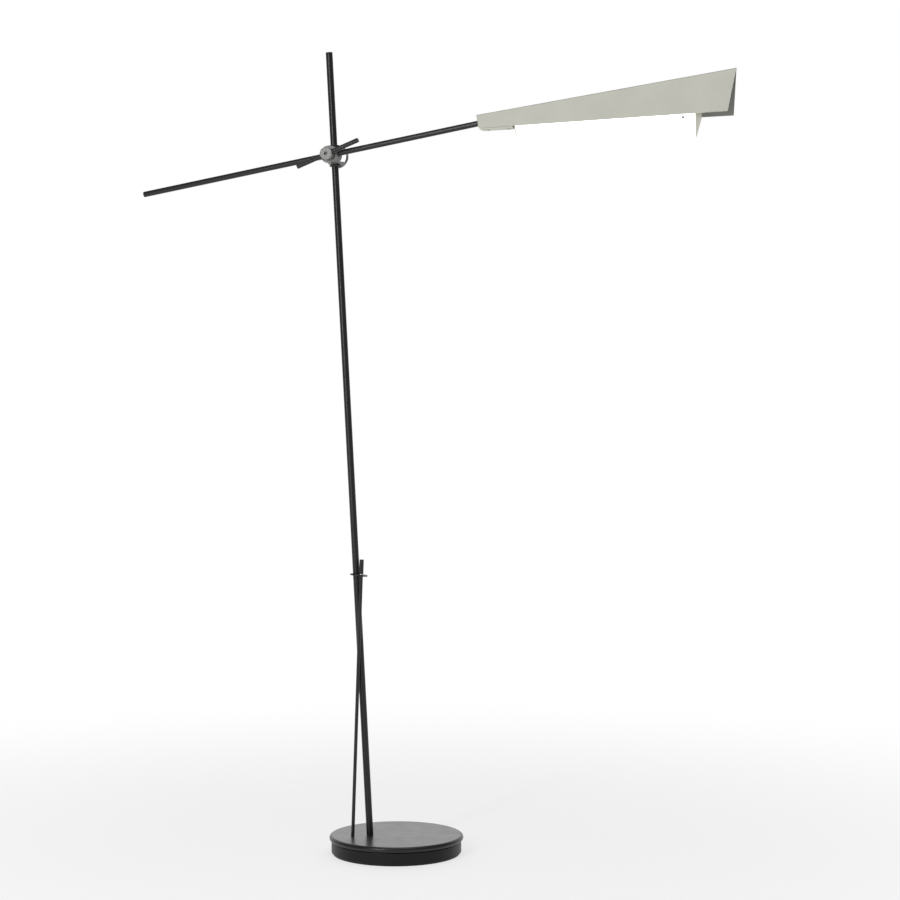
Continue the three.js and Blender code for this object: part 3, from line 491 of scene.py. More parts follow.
def ramp(tree, value, before, after, smooth=True):
    """A value taken from one (low, high) range to another, and held at its ends."""
    node = tree.nodes.new("ShaderNodeMapRange")
    if smooth:
        node.interpolation_type = "SMOOTHSTEP"
    node.inputs["From Min"].default_value, node.inputs["From Max"].default_value = before
    node.inputs["To Min"].default_value, node.inputs["To Max"].default_value = after
    tree.links.new(value, node.inputs["Value"])
    return node.outputs["Result"]


class Surface:
    """A principled material with small helpers for its nodes."""

    def __init__(self, name, slot, color, roughness, metallic=0.0, specular=0.5):
        self.material = bpy.data.materials.new(name)
        self.material.use_nodes = True
        self.tree = self.material.node_tree
        self.shader = self.tree.nodes["Principled BSDF"]
        self.shader.inputs["Base Color"].default_value = (*color, 1)
        self.shader.inputs["Roughness"].default_value = roughness
        self.shader.inputs["Metallic"].default_value = metallic
        self.shader.inputs["Specular IOR Level"].default_value = specular
        attribute = self.add("Attribute")
        attribute.name = LOCAL
        attribute.attribute_name = LOCAL
        self.where = attribute.outputs["Vector"]

    def add(self, kind):
        return self.tree.nodes.new("ShaderNode" + kind)

    def link(self, output, node, socket):
        self.tree.links.new(output, node.inputs[socket])

    def noise(self, scale, detail=3.0, vector=None):
        node = self.add("TexNoise")
        node.inputs["Scale"].default_value = scale
        node.inputs["Detail"].default_value = detail
        self.link(vector or self.where, node, "Vector")
        return node.outputs["Fac"]

    def stretched(self, x, y, z):
        node = self.add("Mapping")
        node.inputs["Scale"].default_value = (x, y, z)
        self.link(self.where, node, "Vector")
        return node.outputs["Vector"]

    def rings(self, scale, detail=4.0):
        """Noise that depends only on the distance from the local Z axis, like a lathe tool's marks."""
        flat = self.add("VectorMath")
        flat.operation = "MULTIPLY"
        flat.inputs[1].default_value = (1, 1, 0)
        self.link(self.where, flat, 0)
        length = self.add("VectorMath")
        length.operation = "LENGTH"
        self.link(flat.outputs["Vector"], length, 0)
        node = self.add("TexNoise")
        node.noise_dimensions = "1D"
        node.inputs["Scale"].default_value = scale
        node.inputs["Detail"].default_value = detail
        self.link(length.outputs["Value"], node, "W")
        return node.outputs["Fac"]

    def spread(self, value, low, high):
        """A value's usual range, stretched from low to high."""
        return ramp(self.tree, value, NOISE_RANGE, (low, high), smooth=False)

    def tint(self, value, dark, light, socket="Base Color"):
        node = self.add("Mix")
        node.data_type = "RGBA"
        node.inputs["A"].default_value = (*dark, 1)
        node.inputs["B"].default_value = (*light, 1)
        self.link(self.spread(value, 0, 1), node, "Factor")
        self.link(node.outputs["Result"], self.shader, socket)

    def gloss(self, value, low, high):
        self.link(self.spread(value, low, high), self.shader, "Roughness")

    def bump(self, *layers):
        """Each layer is (value, height in metres)."""
        last = None
        for value, height in layers:
            node = self.add("Bump")
            node.inputs["Distance"].default_value = height
            self.link(value, node, "Height")
            if last:
                self.link(last, node, "Normal")
            last = node.outputs["Normal"]
        self.link(last, self.shader, "Normal")


def powder_coat(name, slot, dark, light, roughness, specular, grain=1800):
    """Fine orange-peel texture, with slow changes in tone and gloss."""
    surface = Surface(name, slot, light, roughness, specular=specular)
    surface.tint(surface.noise(22, 4), dark, light)
    surface.gloss(surface.noise(40, 3), roughness - 0.025, roughness + 0.03)
    surface.bump((surface.noise(grain, 2), 0.000003), (surface.noise(grain / 4, 1), 0.000002))
    return surface


SHADE_PAINTS = ((0.5, 0.501, 0.44), (0.53, 0.53, 0.468))
# A painted shadow line along the shade's fold: its colour, strength and width.
FOLD_SHADOW_COLOR = (0.1, 0.1, 0.098)
FOLD_SHADOW_STRENGTH = 0.75
FOLD_BAND = (0.0006, 0.0015)     # metres from the fold, over which its painted shadow line fades


def folded_paint():
    """The shade's paint, with a painted shadow darkening it along the fold."""
    surface = powder_coat("shade_coat", "shade_paint", *SHADE_PAINTS, 0.52, 0.35)
    apart = surface.add("SeparateXYZ")
    surface.link(surface.where, apart, 0)
    across = surface.add("Math")
    across.operation = "ABSOLUTE"
    surface.link(apart.outputs["Y"], across, 0)
    # Painted shadow: the paint is mixed towards dark grey near the ridge fold.
    near = ramp(surface.tree, across.outputs["Value"], FOLD_BAND, (FOLD_SHADOW_STRENGTH, 0))
    fold_shadow = surface.add("Mix")
    fold_shadow.data_type = "RGBA"
    fold_shadow.inputs["B"].default_value = (*FOLD_SHADOW_COLOR, 1)
    surface.link(near, fold_shadow, "Factor")
    surface.link(surface.shader.inputs["Base Color"].links[0].from_socket, fold_shadow, "A")
    surface.link(fold_shadow.outputs["Result"], surface.shader, "Base Color")
    return surface


def turned_steel():
    surface = Surface("turned_finish", "turned_steel", (0.17, 0.17, 0.167), 0.45, metallic=0.75)
    fine = surface.rings(1100, 3)
    surface.tint(fine, (0.14, 0.14, 0.137), (0.21, 0.21, 0.206))
    surface.gloss(surface.noise(200, 3), 0.4, 0.5)
    surface.bump((fine, 0.000015))
    return surface.material


def plated_steel():
    surface = Surface("plated_steel", "bright_steel", (0.62, 0.62, 0.61), 0.3, metallic=1)
    surface.tint(surface.noise(180, 5), (0.5, 0.5, 0.49), (0.68, 0.68, 0.67))
    surface.gloss(surface.rings(1500), 0.22, 0.36)
    surface.bump((surface.rings(1500), 0.00003))
    return surface.material


def blackened_steel():
    surface = Surface("blackened_steel", "dark_steel", (0.06, 0.06, 0.065), 0.4, metallic=0.7)
    surface.tint(surface.noise(400, 4), (0.035, 0.035, 0.038), (0.085, 0.085, 0.09))
    surface.gloss(surface.noise(700, 3), 0.32, 0.5)
    return surface.material


def brushed_aluminium():
    surface = Surface("brushed_aluminium", "aluminium", (0.6, 0.61, 0.62), 0.4, metallic=0.95)
    grain = surface.noise(900, 3, surface.stretched(0.03, 1, 1))
    surface.tint(grain, (0.5, 0.51, 0.52), (0.68, 0.69, 0.7))
    surface.gloss(grain, 0.34, 0.5)
    surface.bump((grain, 0.00002))
    return surface.material


def moulded(name, slot, dark, light, roughness):
    """Spark-eroded plastic."""
    surface = Surface(name, slot, light, roughness)
    surface.tint(surface.noise(90, 3), dark, light)
    surface.gloss(surface.noise(500, 3), roughness - 0.05, roughness + 0.08)
    surface.bump((surface.noise(3200, 2), 0.00001))
    return surface.material


def pressed_felt():
    surface = Surface("pressed_felt", "felt", (0.02, 0.02, 0.021), 0.95, specular=0.2)
    fibres = surface.noise(1500, 6, surface.stretched(1, 1, 0.3))
    surface.tint(fibres, (0.011, 0.011, 0.012), (0.034, 0.034, 0.036))
    surface.shader.inputs["Sheen Weight"].default_value = 0.3
    surface.bump((fibres, 0.0002))
    return surface.material


def lit_opal():
    """Opal acrylic lit from inside, with a glow whose colour changes a little along its length."""
    surface = Surface("lit_opal", "opal_diffuser", (0.95, 0.94, 0.88), 0.4)
    surface.tint(surface.noise(70, 3), (0.93, 0.92, 0.86), (0.97, 0.96, 0.91))
    glow = surface.noise(95, 1, surface.stretched(1, 0.05, 0.05))
    surface.tint(glow, (1.0, 0.965, 0.88), (1.0, 0.99, 0.94), socket="Emission Color")
    surface.shader.inputs["Emission Strength"].default_value = 2.4
    return surface.material


def glowing_plastic():
    """The diffuser's end plates, which catch some of its light."""
    surface = Surface("glowing_plastic", "pale_plastic", (0.6, 0.59, 0.5), 0.42)
    surface.tint(surface.noise(120, 3), (0.52, 0.51, 0.43), (0.6, 0.59, 0.5))
    surface.tint(surface.noise(60, 2), (0.9, 0.86, 0.7), (0.96, 0.93, 0.8), socket="Emission Color")
    surface.shader.inputs["Emission Strength"].default_value = 0.06
    surface.bump((surface.noise(2400, 2), 0.00001))
    return surface.material


BLACKS = ((0.0075, 0.0076, 0.0079), (0.0105, 0.0106, 0.011))
DRUM_BLACKS = ((0.004, 0.004, 0.0042), (0.0065, 0.0065, 0.0068))
# The shade's inner faces get a darker copy of its paint: painted shadow for the light that reaches less far
# inside.
INSIDE_SHADOW_GREYS = ((0.2, 0.2, 0.185), (0.235, 0.235, 0.215))
black_paint = powder_coat("black_coat", "black_paint", *BLACKS, 0.33, 0.4).material
plate_paint = powder_coat("plate_coat", "black_paint", *BLACKS, 0.3, 0.9).material
drum_paint = powder_coat("drum_coat", "cast_iron", *DRUM_BLACKS, 0.42, 0.25, 900).material
shade_paint = folded_paint().material
painted_shadow_inside = powder_coat("shade_inside_coat", "shade_paint", *INSIDE_SHADOW_GREYS, 0.6, 0.3).material
steel = turned_steel()
plated = plated_steel()
blackened = blackened_steel()
aluminium = brushed_aluminium()
black_plastic = moulded("black_moulding", "black_plastic", (0.012, 0.012, 0.0125), (0.024, 0.024, 0.025), 0.5)
white_board = moulded("board_mask", "led_board", (0.7, 0.72, 0.69), (0.8, 0.82, 0.79), 0.45)
felt = pressed_felt()
opal = lit_opal()
pale_plastic = glowing_plastic()
button_plastic = moulded("button_moulding", "pale_plastic", (0.2, 0.2, 0.185), (0.26, 0.26, 0.24), 0.45)

CAD_FINISH = {
    "black_paint": black_paint,
    "cast_iron": drum_paint,
    "felt": felt,
    "black_plastic": black_plastic,
    "dark_steel": blackened,
    "bright_steel": plated,
    "turned_steel": steel,
    "aluminium": aluminium,
    "shade_paint": shade_paint,
    "opal_diffuser": opal,
    "pale_plastic": pale_plastic,
    "led_board": white_board,
}


def by_object(material):
    """The material read by the object's coordinates, for meshes that keep no local place."""
    copy = material.copy()
    tree = copy.node_tree
    where = tree.nodes.new("ShaderNodeTexCoord").outputs["Object"]
    for link in list(tree.nodes[LOCAL].outputs["Vector"].links):
        tree.links.new(where, link.to_socket)
    return copy


def finish_cad_nodes():
    """Every CAD node gets its slot's material, so the ones that stay showing are finished too."""
    finishes = {slot: by_object(material) for slot, material in CAD_FINISH.items()}
    for subpart in frame["record"]["subparts"]:
        data = frame["nodes"][subpart["node"]].data
        data.materials.clear()
        data.materials.append(finishes[subpart["material_slot"]])


# ------------------------ base


def screw_place(number):
    angle = math.radians(BASE_SCREW_ANGLES[number])
    return BASE_SCREW_CIRCLE * math.cos(angle), BASE_SCREW_CIRCLE * math.sin(angle)


def middle_of(node):
    low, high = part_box(node)
    return (low + high) / 2 / MM


NEARLY_LEVEL = 0.98


def faces_up(centre, normal):
    """True for a face that looks up and is level or nearly so."""
    return normal.z > NEARLY_LEVEL


def make_base_plate():
    middle = (PLATE_BOTTOM + PLATE_TOP) / 2
    profile = [(0, PLATE_BOTTOM)]
    for step in range(PLATE_EDGE_STEPS + 1):
        angle = -math.pi / 2 + math.pi * step / PLATE_EDGE_STEPS
        across = PLATE_EDGE * math.cos(angle)
        profile.append((BASE_RADIUS - PLATE_EDGE + across, middle + PLATE_THICKNESS / 2 * math.sin(angle)))
    profile.append((0, PLATE_TOP))
    through = -2 * PLATE_THICKNESS
    tools = [
        carried(rod(POLE_RADIUS + GAP, -POLE_SEAT - GAP, PLATE_THICKNESS), on_pole, on_floor),
        carried(rod(POLE_STUD + GAP, through, 0), on_pole, on_floor),
        carried(rod(BRACE_RADIUS + GAP, -POLE_SEAT - GAP, PLATE_THICKNESS), on_brace, on_floor),
        carried(rod(BRACE_STUD + GAP, through, 0), on_brace, on_floor),
    ]
    mesh = carve(turned(profile, steps=2 * ROUND), tools)
    partly = (faces_up, plate_paint)
    piece("turned_base_plate", mesh, on_floor, "base", black_paint, ["base_plate"], partly)


def make_base_drum():
    profile = [(0, DRUM_BOTTOM), (DRUM_RADIUS, DRUM_BOTTOM), (DRUM_RADIUS, DRUM_TOP), (0, DRUM_TOP)]
    tools = []
    pole_foot = on_pole.translation / MM
    pockets = [(pole_foot.x, pole_foot.y, POLE_WASHER), (*BRACE_FOOT, BRACE_NUT)]
    for x, y, radius in pockets:
        tools.append(laid(rod(radius + POCKET_ROOM, 0, PLATE_TOP), UPRIGHT, x, y))
    low, high = (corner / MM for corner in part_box("driver_unit"))
    tools.append(block(
        (low.x - GAP, high.x + GAP), (low.y - GAP, high.y + GAP), (0, high.z + GAP),
    ))
    gland = middle_of("cord_gland")
    bore = laid(rod(GLAND_RADIUS + GAP, 0, DRUM_RADIUS + OVERRUN), ALONG_Y, gland.x, 0, gland.z)
    tools.append(bore)
    for number in range(len(BASE_SCREW_ANGLES)):
        x, y = screw_place(number)
        head_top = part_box(f"base_screw_{number + 1}")[0].z / MM + BASE_SCREW_HEAD_THICKNESS
        tools.append(laid(rod(BASE_SCREW_HEAD + GAP, 0, head_top + GAP), UPRIGHT, x, y))
        tools.append(laid(rod(BASE_SCREW_RADIUS + GAP, 0, PLATE_TOP), UPRIGHT, x, y))
    mesh = carve(lathed(profile, 1.2, steps=2 * ROUND), tools)
    piece("cast_base_drum", mesh, on_floor, "base", drum_paint, ["base_drum"])


def make_base_felt():
    mesh = rod(FELT_RADIUS, 0, FELT_THICKNESS, 0.8)
    piece("felt_pad", mesh, on_floor, "base", felt, ["base_felt"])


def make_gland():
    low, high = (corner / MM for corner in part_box("cord_gland"))
    start = low.y
    end = high.y
    flange = end - GLAND_FLANGE_THICKNESS
    profile = [
        (GLAND_BORE, start), (GLAND_RADIUS, start), (GLAND_RADIUS, flange),
        (GLAND_FLANGE, flange), (GLAND_FLANGE, end), (GLAND_BORE, end),
    ]
    mesh = laid(lathed(profile, [0.4, 0.4, 0, 0.5, 0.9, 0.7], closed=True), ALONG_Y)
    matrix = shifted(on_floor, middle_of("cord_gland").x, 0, middle_of("cord_gland").z)
    piece("moulded_gland", mesh, matrix, "base", black_plastic, ["cord_gland"])


# ------------------------ pole, brace and tie disc


def make_pole():
    profile = [
        (0, -POLE_STUD_END), (POLE_STUD, -POLE_STUD_END), (POLE_STUD, -POLE_SEAT),
        (POLE_RADIUS, -POLE_SEAT), (POLE_RADIUS, POLE_LENGTH), (POLE_BORE, POLE_LENGTH),
        (POLE_BORE, PLATE_THICKNESS), (0, PLATE_THICKNESS),
    ]
    mesh = lathed(profile, [0, 0.6, 0, 0.3, 0.35, 0.2, 0, 0])
    piece("painted_pole", mesh, on_pole, "base", black_paint, ["pole"])
    mesh = tube_cap(POLE_RADIUS, POLE_BORE, CAP_THICKNESS, POLE_LENGTH)
    piece("pole_end_plug", mesh, on_pole, "base", black_plastic, ["pole_cap"])


def tube_cap(radius, bore, thickness, end):
    plug = bore - GAP
    top = end + GAP + thickness
    profile = [
        (0, end - 2 * radius), (plug, end - 2 * radius), (plug, end + GAP),
        (radius, end + GAP), (radius, top), (0, top),
    ]
    return lathed(profile, [0, 0.5, 0, 0.15, 0.6, 0])


def on_tie():
    """The tie disc's frame, its radius, and its height along the brace rod."""
    pole = on_pole.translation / MM
    lean = math.atan2(-up_pole.x, up_pole.z)
    pole_x_at = pole.x - TIE_HEIGHT * math.tan(lean)
    brace_x_at = BRACE_FOOT[0] + TIE_HEIGHT * math.tan(BRACE_LEAN)
    spacing = math.hypot(pole_x_at - brace_x_at, pole.y - BRACE_FOOT[1])
    centre = Vector(((pole_x_at + brace_x_at) / 2, (pole.y + BRACE_FOOT[1]) / 2, PLATE_TOP + TIE_HEIGHT))
    matrix = Matrix.Translation(centre * MM) @ Matrix.Rotation(TIE_TILT, 4, "Y")
    along_brace = TIE_HEIGHT - (brace_x_at - centre.x) * math.tan(TIE_TILT)
    return matrix, spacing / 2 + POLE_RADIUS + GAP + TIE_RIM, along_brace


def make_tie_disc():
    matrix, radius, _ = on_tie()
    below = TIE_HEIGHT - radius
    above = TIE_HEIGHT + radius
    tools = [
        carried(rod(POLE_RADIUS + GAP, below, above), on_pole, matrix),
        carried(rod(BRACE_STUD + GAP, below, above), on_brace, matrix),
    ]
    mesh = carve(rod(radius, -TIE_THICKNESS / 2, TIE_THICKNESS / 2, 0.5), tools)
    piece("painted_tie_disc", mesh, matrix, "base", black_paint, ["tie_disc"])


def make_brace():
    along = on_tie()[2]
    slant = math.tan(TIE_TILT - BRACE_LEAN)
    shoulder = along - TIE_THICKNESS / 2 - GAP - BRACE_RADIUS * slant
    washer = along + TIE_THICKNESS / 2 + GAP + TIE_WASHER * slant
    sleeve = washer + TIE_WASHER_THICKNESS + GAP
    sleeve_end = sleeve + SLEEVE_LENGTH
    thread_end = sleeve_end - SLEEVE_TOP_WALL - OVERRUN
    profile = [
        (0, -BRACE_STUD_END), (BRACE_STUD, -BRACE_STUD_END), (BRACE_STUD, -POLE_SEAT),
        (BRACE_RADIUS, -POLE_SEAT), (BRACE_RADIUS, shoulder), (BRACE_STUD, shoulder),
        (BRACE_STUD, thread_end), (0, thread_end),
    ]
    mesh = lathed(profile, [0, 0.4, 0, 0.3, 0.3, 0, 0.4, 0])
    piece("painted_brace_rod", mesh, on_brace, "base", black_paint, ["brace_rod"])
    bore = BRACE_STUD + GAP
    mesh = tube(bore, TIE_WASHER, washer, washer + TIE_WASHER_THICKNESS, 0.2)
    piece("plated_tie_washer", mesh, on_brace, "base", plated, ["tie_washer"])
    roof = sleeve_end - SLEEVE_TOP_WALL
    profile = [
        (0, roof), (bore, roof), (bore, sleeve),
        (SLEEVE_RADIUS, sleeve), (SLEEVE_RADIUS, sleeve_end), (0, sleeve_end),
    ]
    mesh = lathed(profile, [0, 0, 0.2, 0.35, 0.5, 0])
    piece("painted_brace_sleeve", mesh, on_brace, "base", black_paint, ["brace_sleeve"])


# ------------------------ clamp


def ring_screw_place(number):
    angle = (number + 0.5) * 2 * math.pi / RING_SCREW_COUNT
    return RING_SCREW_CIRCLE * math.cos(angle), RING_SCREW_CIRCLE * math.sin(angle)


def make_cage():
    far = 2 * CAGE_REAR_RADIUS
    rim_front = CAGE_REAR + CAGE_RIM_THICKNESS
    window_rear = rim_front - WINDOW_OVERLAP
    window_front = PAD_REAR - WINDOW_LIP
    seat_rear = -(BUSH_FLANGE + GAP)
    bore_from = math.sqrt(CAGE_INSIDE ** 2 - (BUSH_RADIUS + GAP) ** 2) - GAP
    profile = [
        (0, CAGE_REAR), (CAGE_REAR_RADIUS, CAGE_REAR), (CAGE_REAR_RADIUS, rim_front),
        (CAGE_FRONT_RADIUS, CAGE_FRONT), (0, CAGE_FRONT),
    ]
    tools = [
        rod(CAGE_INSIDE, CAGE_REAR - OVERRUN, PAD_REAR),
        rod(CAGE_REAR_RADIUS - CAGE_RIM_WIDTH, CAGE_REAR - OVERRUN, rim_front),
        block((-far, far), (-WINDOW_HALF_HEIGHT, WINDOW_HALF_HEIGHT), (window_rear, window_front)),
        block((-far, far), (CAGE_FLAT, far), (seat_rear, CAGE_FRONT + OVERRUN)),
        block((-far, far), (-far, -CAGE_FLAT), (seat_rear, CAGE_FRONT + OVERRUN)),
        laid(rod(BUSH_RADIUS + GAP, bore_from, far), ALONG_Y),
        laid(rod(BUSH_RADIUS + GAP, -far, -bore_from), ALONG_Y),
        rod(FLANGE_RADIUS + GAP, PAD_REAR + CAGE_FLOOR, CAGE_FRONT + OVERRUN),
        rod(PAD_RADIUS + GAP, PAD_REAR - OVERRUN, CAGE_FRONT),
    ]
    for number in range(RING_SCREW_COUNT):
        x, y = ring_screw_place(number)
        hole = rod(RING_SCREW_SHANK + GAP, RING_SCREW_TIP - GAP, CAGE_FRONT + OVERRUN, steps=TINY_STEPS)
        tools.append(laid(hole, UPRIGHT, x, y))
    mesh = carve(lathed(profile, [0, 0.5, 0.8, 0.4, 0]), tools)
    piece("turned_clamp_cage", mesh, on_clamp, "clamp", steel, ["clamp_cage"])


def make_bush(name, side, node):
    flange = CAGE_FLAT + GAP
    top = flange + BUSH_FLANGE_THICKNESS
    profile = [
        (BUSH_BORE, CAGE_INSIDE), (BUSH_RADIUS, CAGE_INSIDE), (BUSH_RADIUS, flange),
        (BUSH_FLANGE, flange), (BUSH_FLANGE, top), (BUSH_BORE, top),
    ]
    mesh = lathed(profile, [0.2, 0.2, 0, 0.15, 0.4, 0.3], closed=True)
    turn = ALONG_Y if side > 0 else Matrix.Rotation(math.pi / 2, 4, "X")
    piece(name, laid(mesh, turn), on_clamp, "bushes", black_plastic, [node])


def make_ring_screw(number):
    x, y = ring_screw_place(number)
    head_rear = RING_FRONT - RING_SCREW_HEAD_THICKNESS
    profile = [
        (0, RING_SCREW_TIP), (RING_SCREW_SHANK, RING_SCREW_TIP), (RING_SCREW_SHANK, head_rear),
        (RING_SCREW_HEAD, head_rear), (RING_SCREW_HEAD, RING_FRONT), (0, RING_FRONT),
    ]
    screw = lathed(profile, [0, 0.1, 0, 0.1, 0.25, 0], steps=COARSE_STEPS)
    slot = block(
        (-SLOT_HALF_LENGTH, SLOT_HALF_LENGTH), (-SLOT_HALF_WIDTH, SLOT_HALF_WIDTH),
        (RING_FRONT - SLOT_DEPTH, RING_FRONT + OVERRUN),
    )
    node = f"ring_screw_{number + 1}"
    piece(f"slotted_{node}", carve(screw, [slot]), shifted(on_clamp, x, y), "clamp", blackened, [node])


def make_swivel_ring(side, cut_away):
    """One half of the ring that holds the collar's flange in the cage."""
    far = 2 * CAGE_REAR_RADIUS
    tools = [block(cut_away, (-far, far), (RING_REAR - OVERRUN, RING_FRONT + OVERRUN))]
    head_rear = RING_FRONT - RING_SCREW_HEAD_THICKNESS
    for number in range(RING_SCREW_COUNT):
        x, y = ring_screw_place(number)
        head = rod(RING_SCREW_HEAD + GAP, head_rear - GAP, RING_FRONT + OVERRUN, steps=COARSE_STEPS)
        shank = rod(RING_SCREW_SHANK + GAP, RING_REAR - OVERRUN, RING_FRONT, steps=TINY_STEPS)
        tools += [laid(head, UPRIGHT, x, y), laid(shank, UPRIGHT, x, y)]
    mesh = carve(tube(NECK_RADIUS + GAP, CAGE_FRONT_RADIUS, RING_REAR, RING_FRONT, 0.25), tools)
    piece(f"turned_swivel_ring_{side}", mesh, on_clamp, "clamp", steel, [f"swivel_ring_{side}"])


def make_swivel_rings():
    far = 2 * CAGE_REAR_RADIUS
    make_swivel_ring("left", (-GAP / 2, far))
    make_swivel_ring("right", (-far, GAP / 2))
    for number in range(RING_SCREW_COUNT):
        make_ring_screw(number)


def make_collar():
    profile = [
        (0, FLANGE_REAR), (FLANGE_RADIUS, FLANGE_REAR), (FLANGE_RADIUS, FLANGE_FRONT),
        (NECK_RADIUS, FLANGE_FRONT), (NECK_RADIUS, COLLAR_REAR), (CAGE_FRONT_RADIUS, COLLAR_REAR),
        (CAGE_FRONT_RADIUS, COLLAR_FRONT), (0, COLLAR_FRONT),
    ]
    far = 2 * CAGE_FRONT_RADIUS
    tools = [
        laid(rod(COLLAR_BORE, -far, far), ALONG_X, 0, 0, ARM_FORWARD),
        rod(PAD_RADIUS + GAP, FLANGE_REAR - OVERRUN, ARM_FORWARD),
        rod(SCREW_RADIUS + RUNNING_GAP, ARM_FORWARD, COLLAR_FRONT + OVERRUN),
    ]
    mesh = carve(lathed(profile, [0, 0.2, 0.2, 0, 0, 0.4, 0.9, 0]), tools)
    piece("turned_arm_collar", mesh, on_collar, "collar", steel, ["arm_collar"])
    half = CAGE_FRONT_RADIUS + LINER_OVERHANG
    mesh = laid(tube(ARM_RADIUS + RUNNING_GAP, LINER_RADIUS, -half, half, 0.3), ALONG_X)
    piece("moulded_arm_liner", mesh, on_arm, "liner", black_plastic, ["arm_liner"])


def make_knob():
    mesh = tube(SCREW_RADIUS + RUNNING_GAP, THRUST_WASHER, WASHER_REAR, WASHER_FRONT, 0.2)
    piece("plated_thrust_washer", mesh, on_collar, "washer", plated, ["thrust_washer"])

    profile = [
        (0, SCREW_TIP), (SCREW_RADIUS, SCREW_TIP), (SCREW_RADIUS, KNOB_REAR), (KNOB_RADIUS, KNOB_REAR),
        (KNOB_RADIUS, KNOB_FACE), (0, KNOB_FACE),
    ]
    across = laid(rod(TOMMY_RADIUS + RUNNING_GAP, -2 * KNOB_RADIUS, 2 * KNOB_RADIUS), ALONG_X)
    tools = [
        carried(across, tommy_frame, on_collar),
        rod(GRUB_RADIUS + GAP, TOMMY_FORWARD, KNOB_FACE + OVERRUN),
    ]
    mesh = carve(lathed(profile, [0, 0.5, 0, 0.8, 0.8, 0]), tools)
    piece("turned_clamp_knob", mesh, on_collar, "knob", steel, ["clamp_knob"])

    half = TOMMY_LENGTH / 2
    bar = laid(rod(TOMMY_RADIUS, TOMMY_OFFSET - half, TOMMY_OFFSET + half, 0.7), ALONG_X)
    piece("painted_tommy_bar", bar, tommy_frame, "knob", black_paint, ["tommy_bar"])

    socket = rod(GRUB_SOCKET, GRUB_FRONT - GRUB_SOCKET_DEPTH, GRUB_FRONT + OVERRUN, steps=HEXAGON)
    grub = carve(rod(GRUB_RADIUS, GRUB_REAR, GRUB_FRONT, 0.3), [socket])
    piece("hex_grub_screw", grub, on_collar, "knob", blackened, ["knob_grub_screw"])


# ------------------------ arm


def make_arm():
    start = ARM_CAP_THICKNESS + GAP - ARM_TAIL
    mesh = laid(tube(ARM_BORE, ARM_RADIUS, start, ARM_REACH, 0.3), ALONG_X)
    piece("painted_arm_tube", mesh, on_arm, "arm", black_paint, ["arm_tube"])
    backwards = Matrix.Rotation(-math.pi / 2, 4, "Y")
    mesh = laid(tube_cap(ARM_RADIUS, ARM_BORE, ARM_CAP_THICKNESS, -start), backwards)
    piece("arm_end_plug", mesh, on_arm, "arm", black_plastic, ["arm_end_cap"])


# ------------------------ head


def arm_axis_height(x):
    return HEAD_DROP / math.cos(HEAD_DROOP) + x * math.tan(HEAD_DROOP)


RIDGE_AT_START = arm_axis_height(0) + (ARM_RADIUS + SHEET + SHADE_OVER_ARM) / math.sin(PANEL_ANGLE)
RIDGE_SLOPE = (RIDGE_END_HEIGHT - RIDGE_AT_START) / (EDGE_LENGTH + RIDGE_BEYOND)


def ridge_height(x):
    return RIDGE_AT_START + x * RIDGE_SLOPE


def outside_half(x, z):
    return FLARE * (ridge_height(x) - z)


def inside_half(x, z):
    """Half the room inside the shade, less the gap to what fits there."""
    return outside_half(x, z) - SHEET_ACROSS - GAP


def shade_end(edge_x, ridge_x):
    """The folded sheet's outline at one end, drawn in the slanted plane through the edges and the ridge."""
    lean = ridge_x - edge_x
    rise = ridge_height(ridge_x)
    length = math.hypot(lean, rise)
    half = outside_half(edge_x, 0)
    slope = math.atan2(half, length)
    across = SHEET / math.cos(slope)
    down = SHEET / math.sin(slope)
    outline = [
        (-half, 0), (0, length), (half, 0), (half - across, 0), (0, length - down), (across - half, 0),
    ]
    radii = [0.3, 1.7, 0.3, 0.3, 0.7, 0.3]
    points = rounded(outline, radii, closed=True)
    return [(edge_x + along / length * lean, y, along / length * rise) for y, along in points]


def faces_inwards(centre, normal):
    """True for the shade's inner faces, whose normals point down and towards its middle."""
    return normal.z < -0.1 and abs(normal.x) < 0.3 and centre.y * normal.y <= 0 and centre.z > 0.001


def make_shade():
    mesh = loft(shade_end(0, -RIDGE_BEHIND), shade_end(EDGE_LENGTH, EDGE_LENGTH + RIDGE_BEYOND))
    # The inner faces take the darker copy of the paint, which paints the shadow inside the fold.
    partly = (faces_inwards, painted_shadow_inside)
    piece("folded_shade", mesh, on_head, "arm", shade_paint, ["shade"], partly)


def filled(x, bottom, top, radius):
    """A four-sided section that fills the shade's inside between two heights."""
    low = inside_half(x, bottom)
    high = inside_half(x, top)
    outline = [(-low, bottom), (low, bottom), (high, top), (-high, top)]
    return [(x, y, z) for y, z in rounded(outline, radius, closed=True)]


def make_head_block():
    ends = [filled(x, BLOCK_BOTTOM, ridge_height(x) - BLOCK_TOP_DEPTH, 0.6) for x in BLOCK]
    middle = sum(BLOCK) / 2
    bore = laid(rod(ARM_BORE, ARM_REACH - OVERRUN, ARM_REACH + SPIGOT_IN_HEAD + GAP), ALONG_X)
    tools = [
        carried(bore, on_arm, on_head),
        laid(rod(HEAD_GRUB_RADIUS + GAP, BLOCK_BOTTOM - OVERRUN, arm_axis_height(middle)), UPRIGHT, middle),
    ]
    hole_ends = (BLOCK_BOTTOM - OVERRUN, NECK_SCREW_TOP + GAP)
    for x in NECK_SCREWS:
        hole = rod(NECK_SCREW_RADIUS + GAP, *hole_ends, steps=COARSE_STEPS)
        tools.append(laid(hole, UPRIGHT, x))
    piece("machined_head_block", carve(loft(*ends), tools), on_head, "arm", aluminium, ["head_block"])


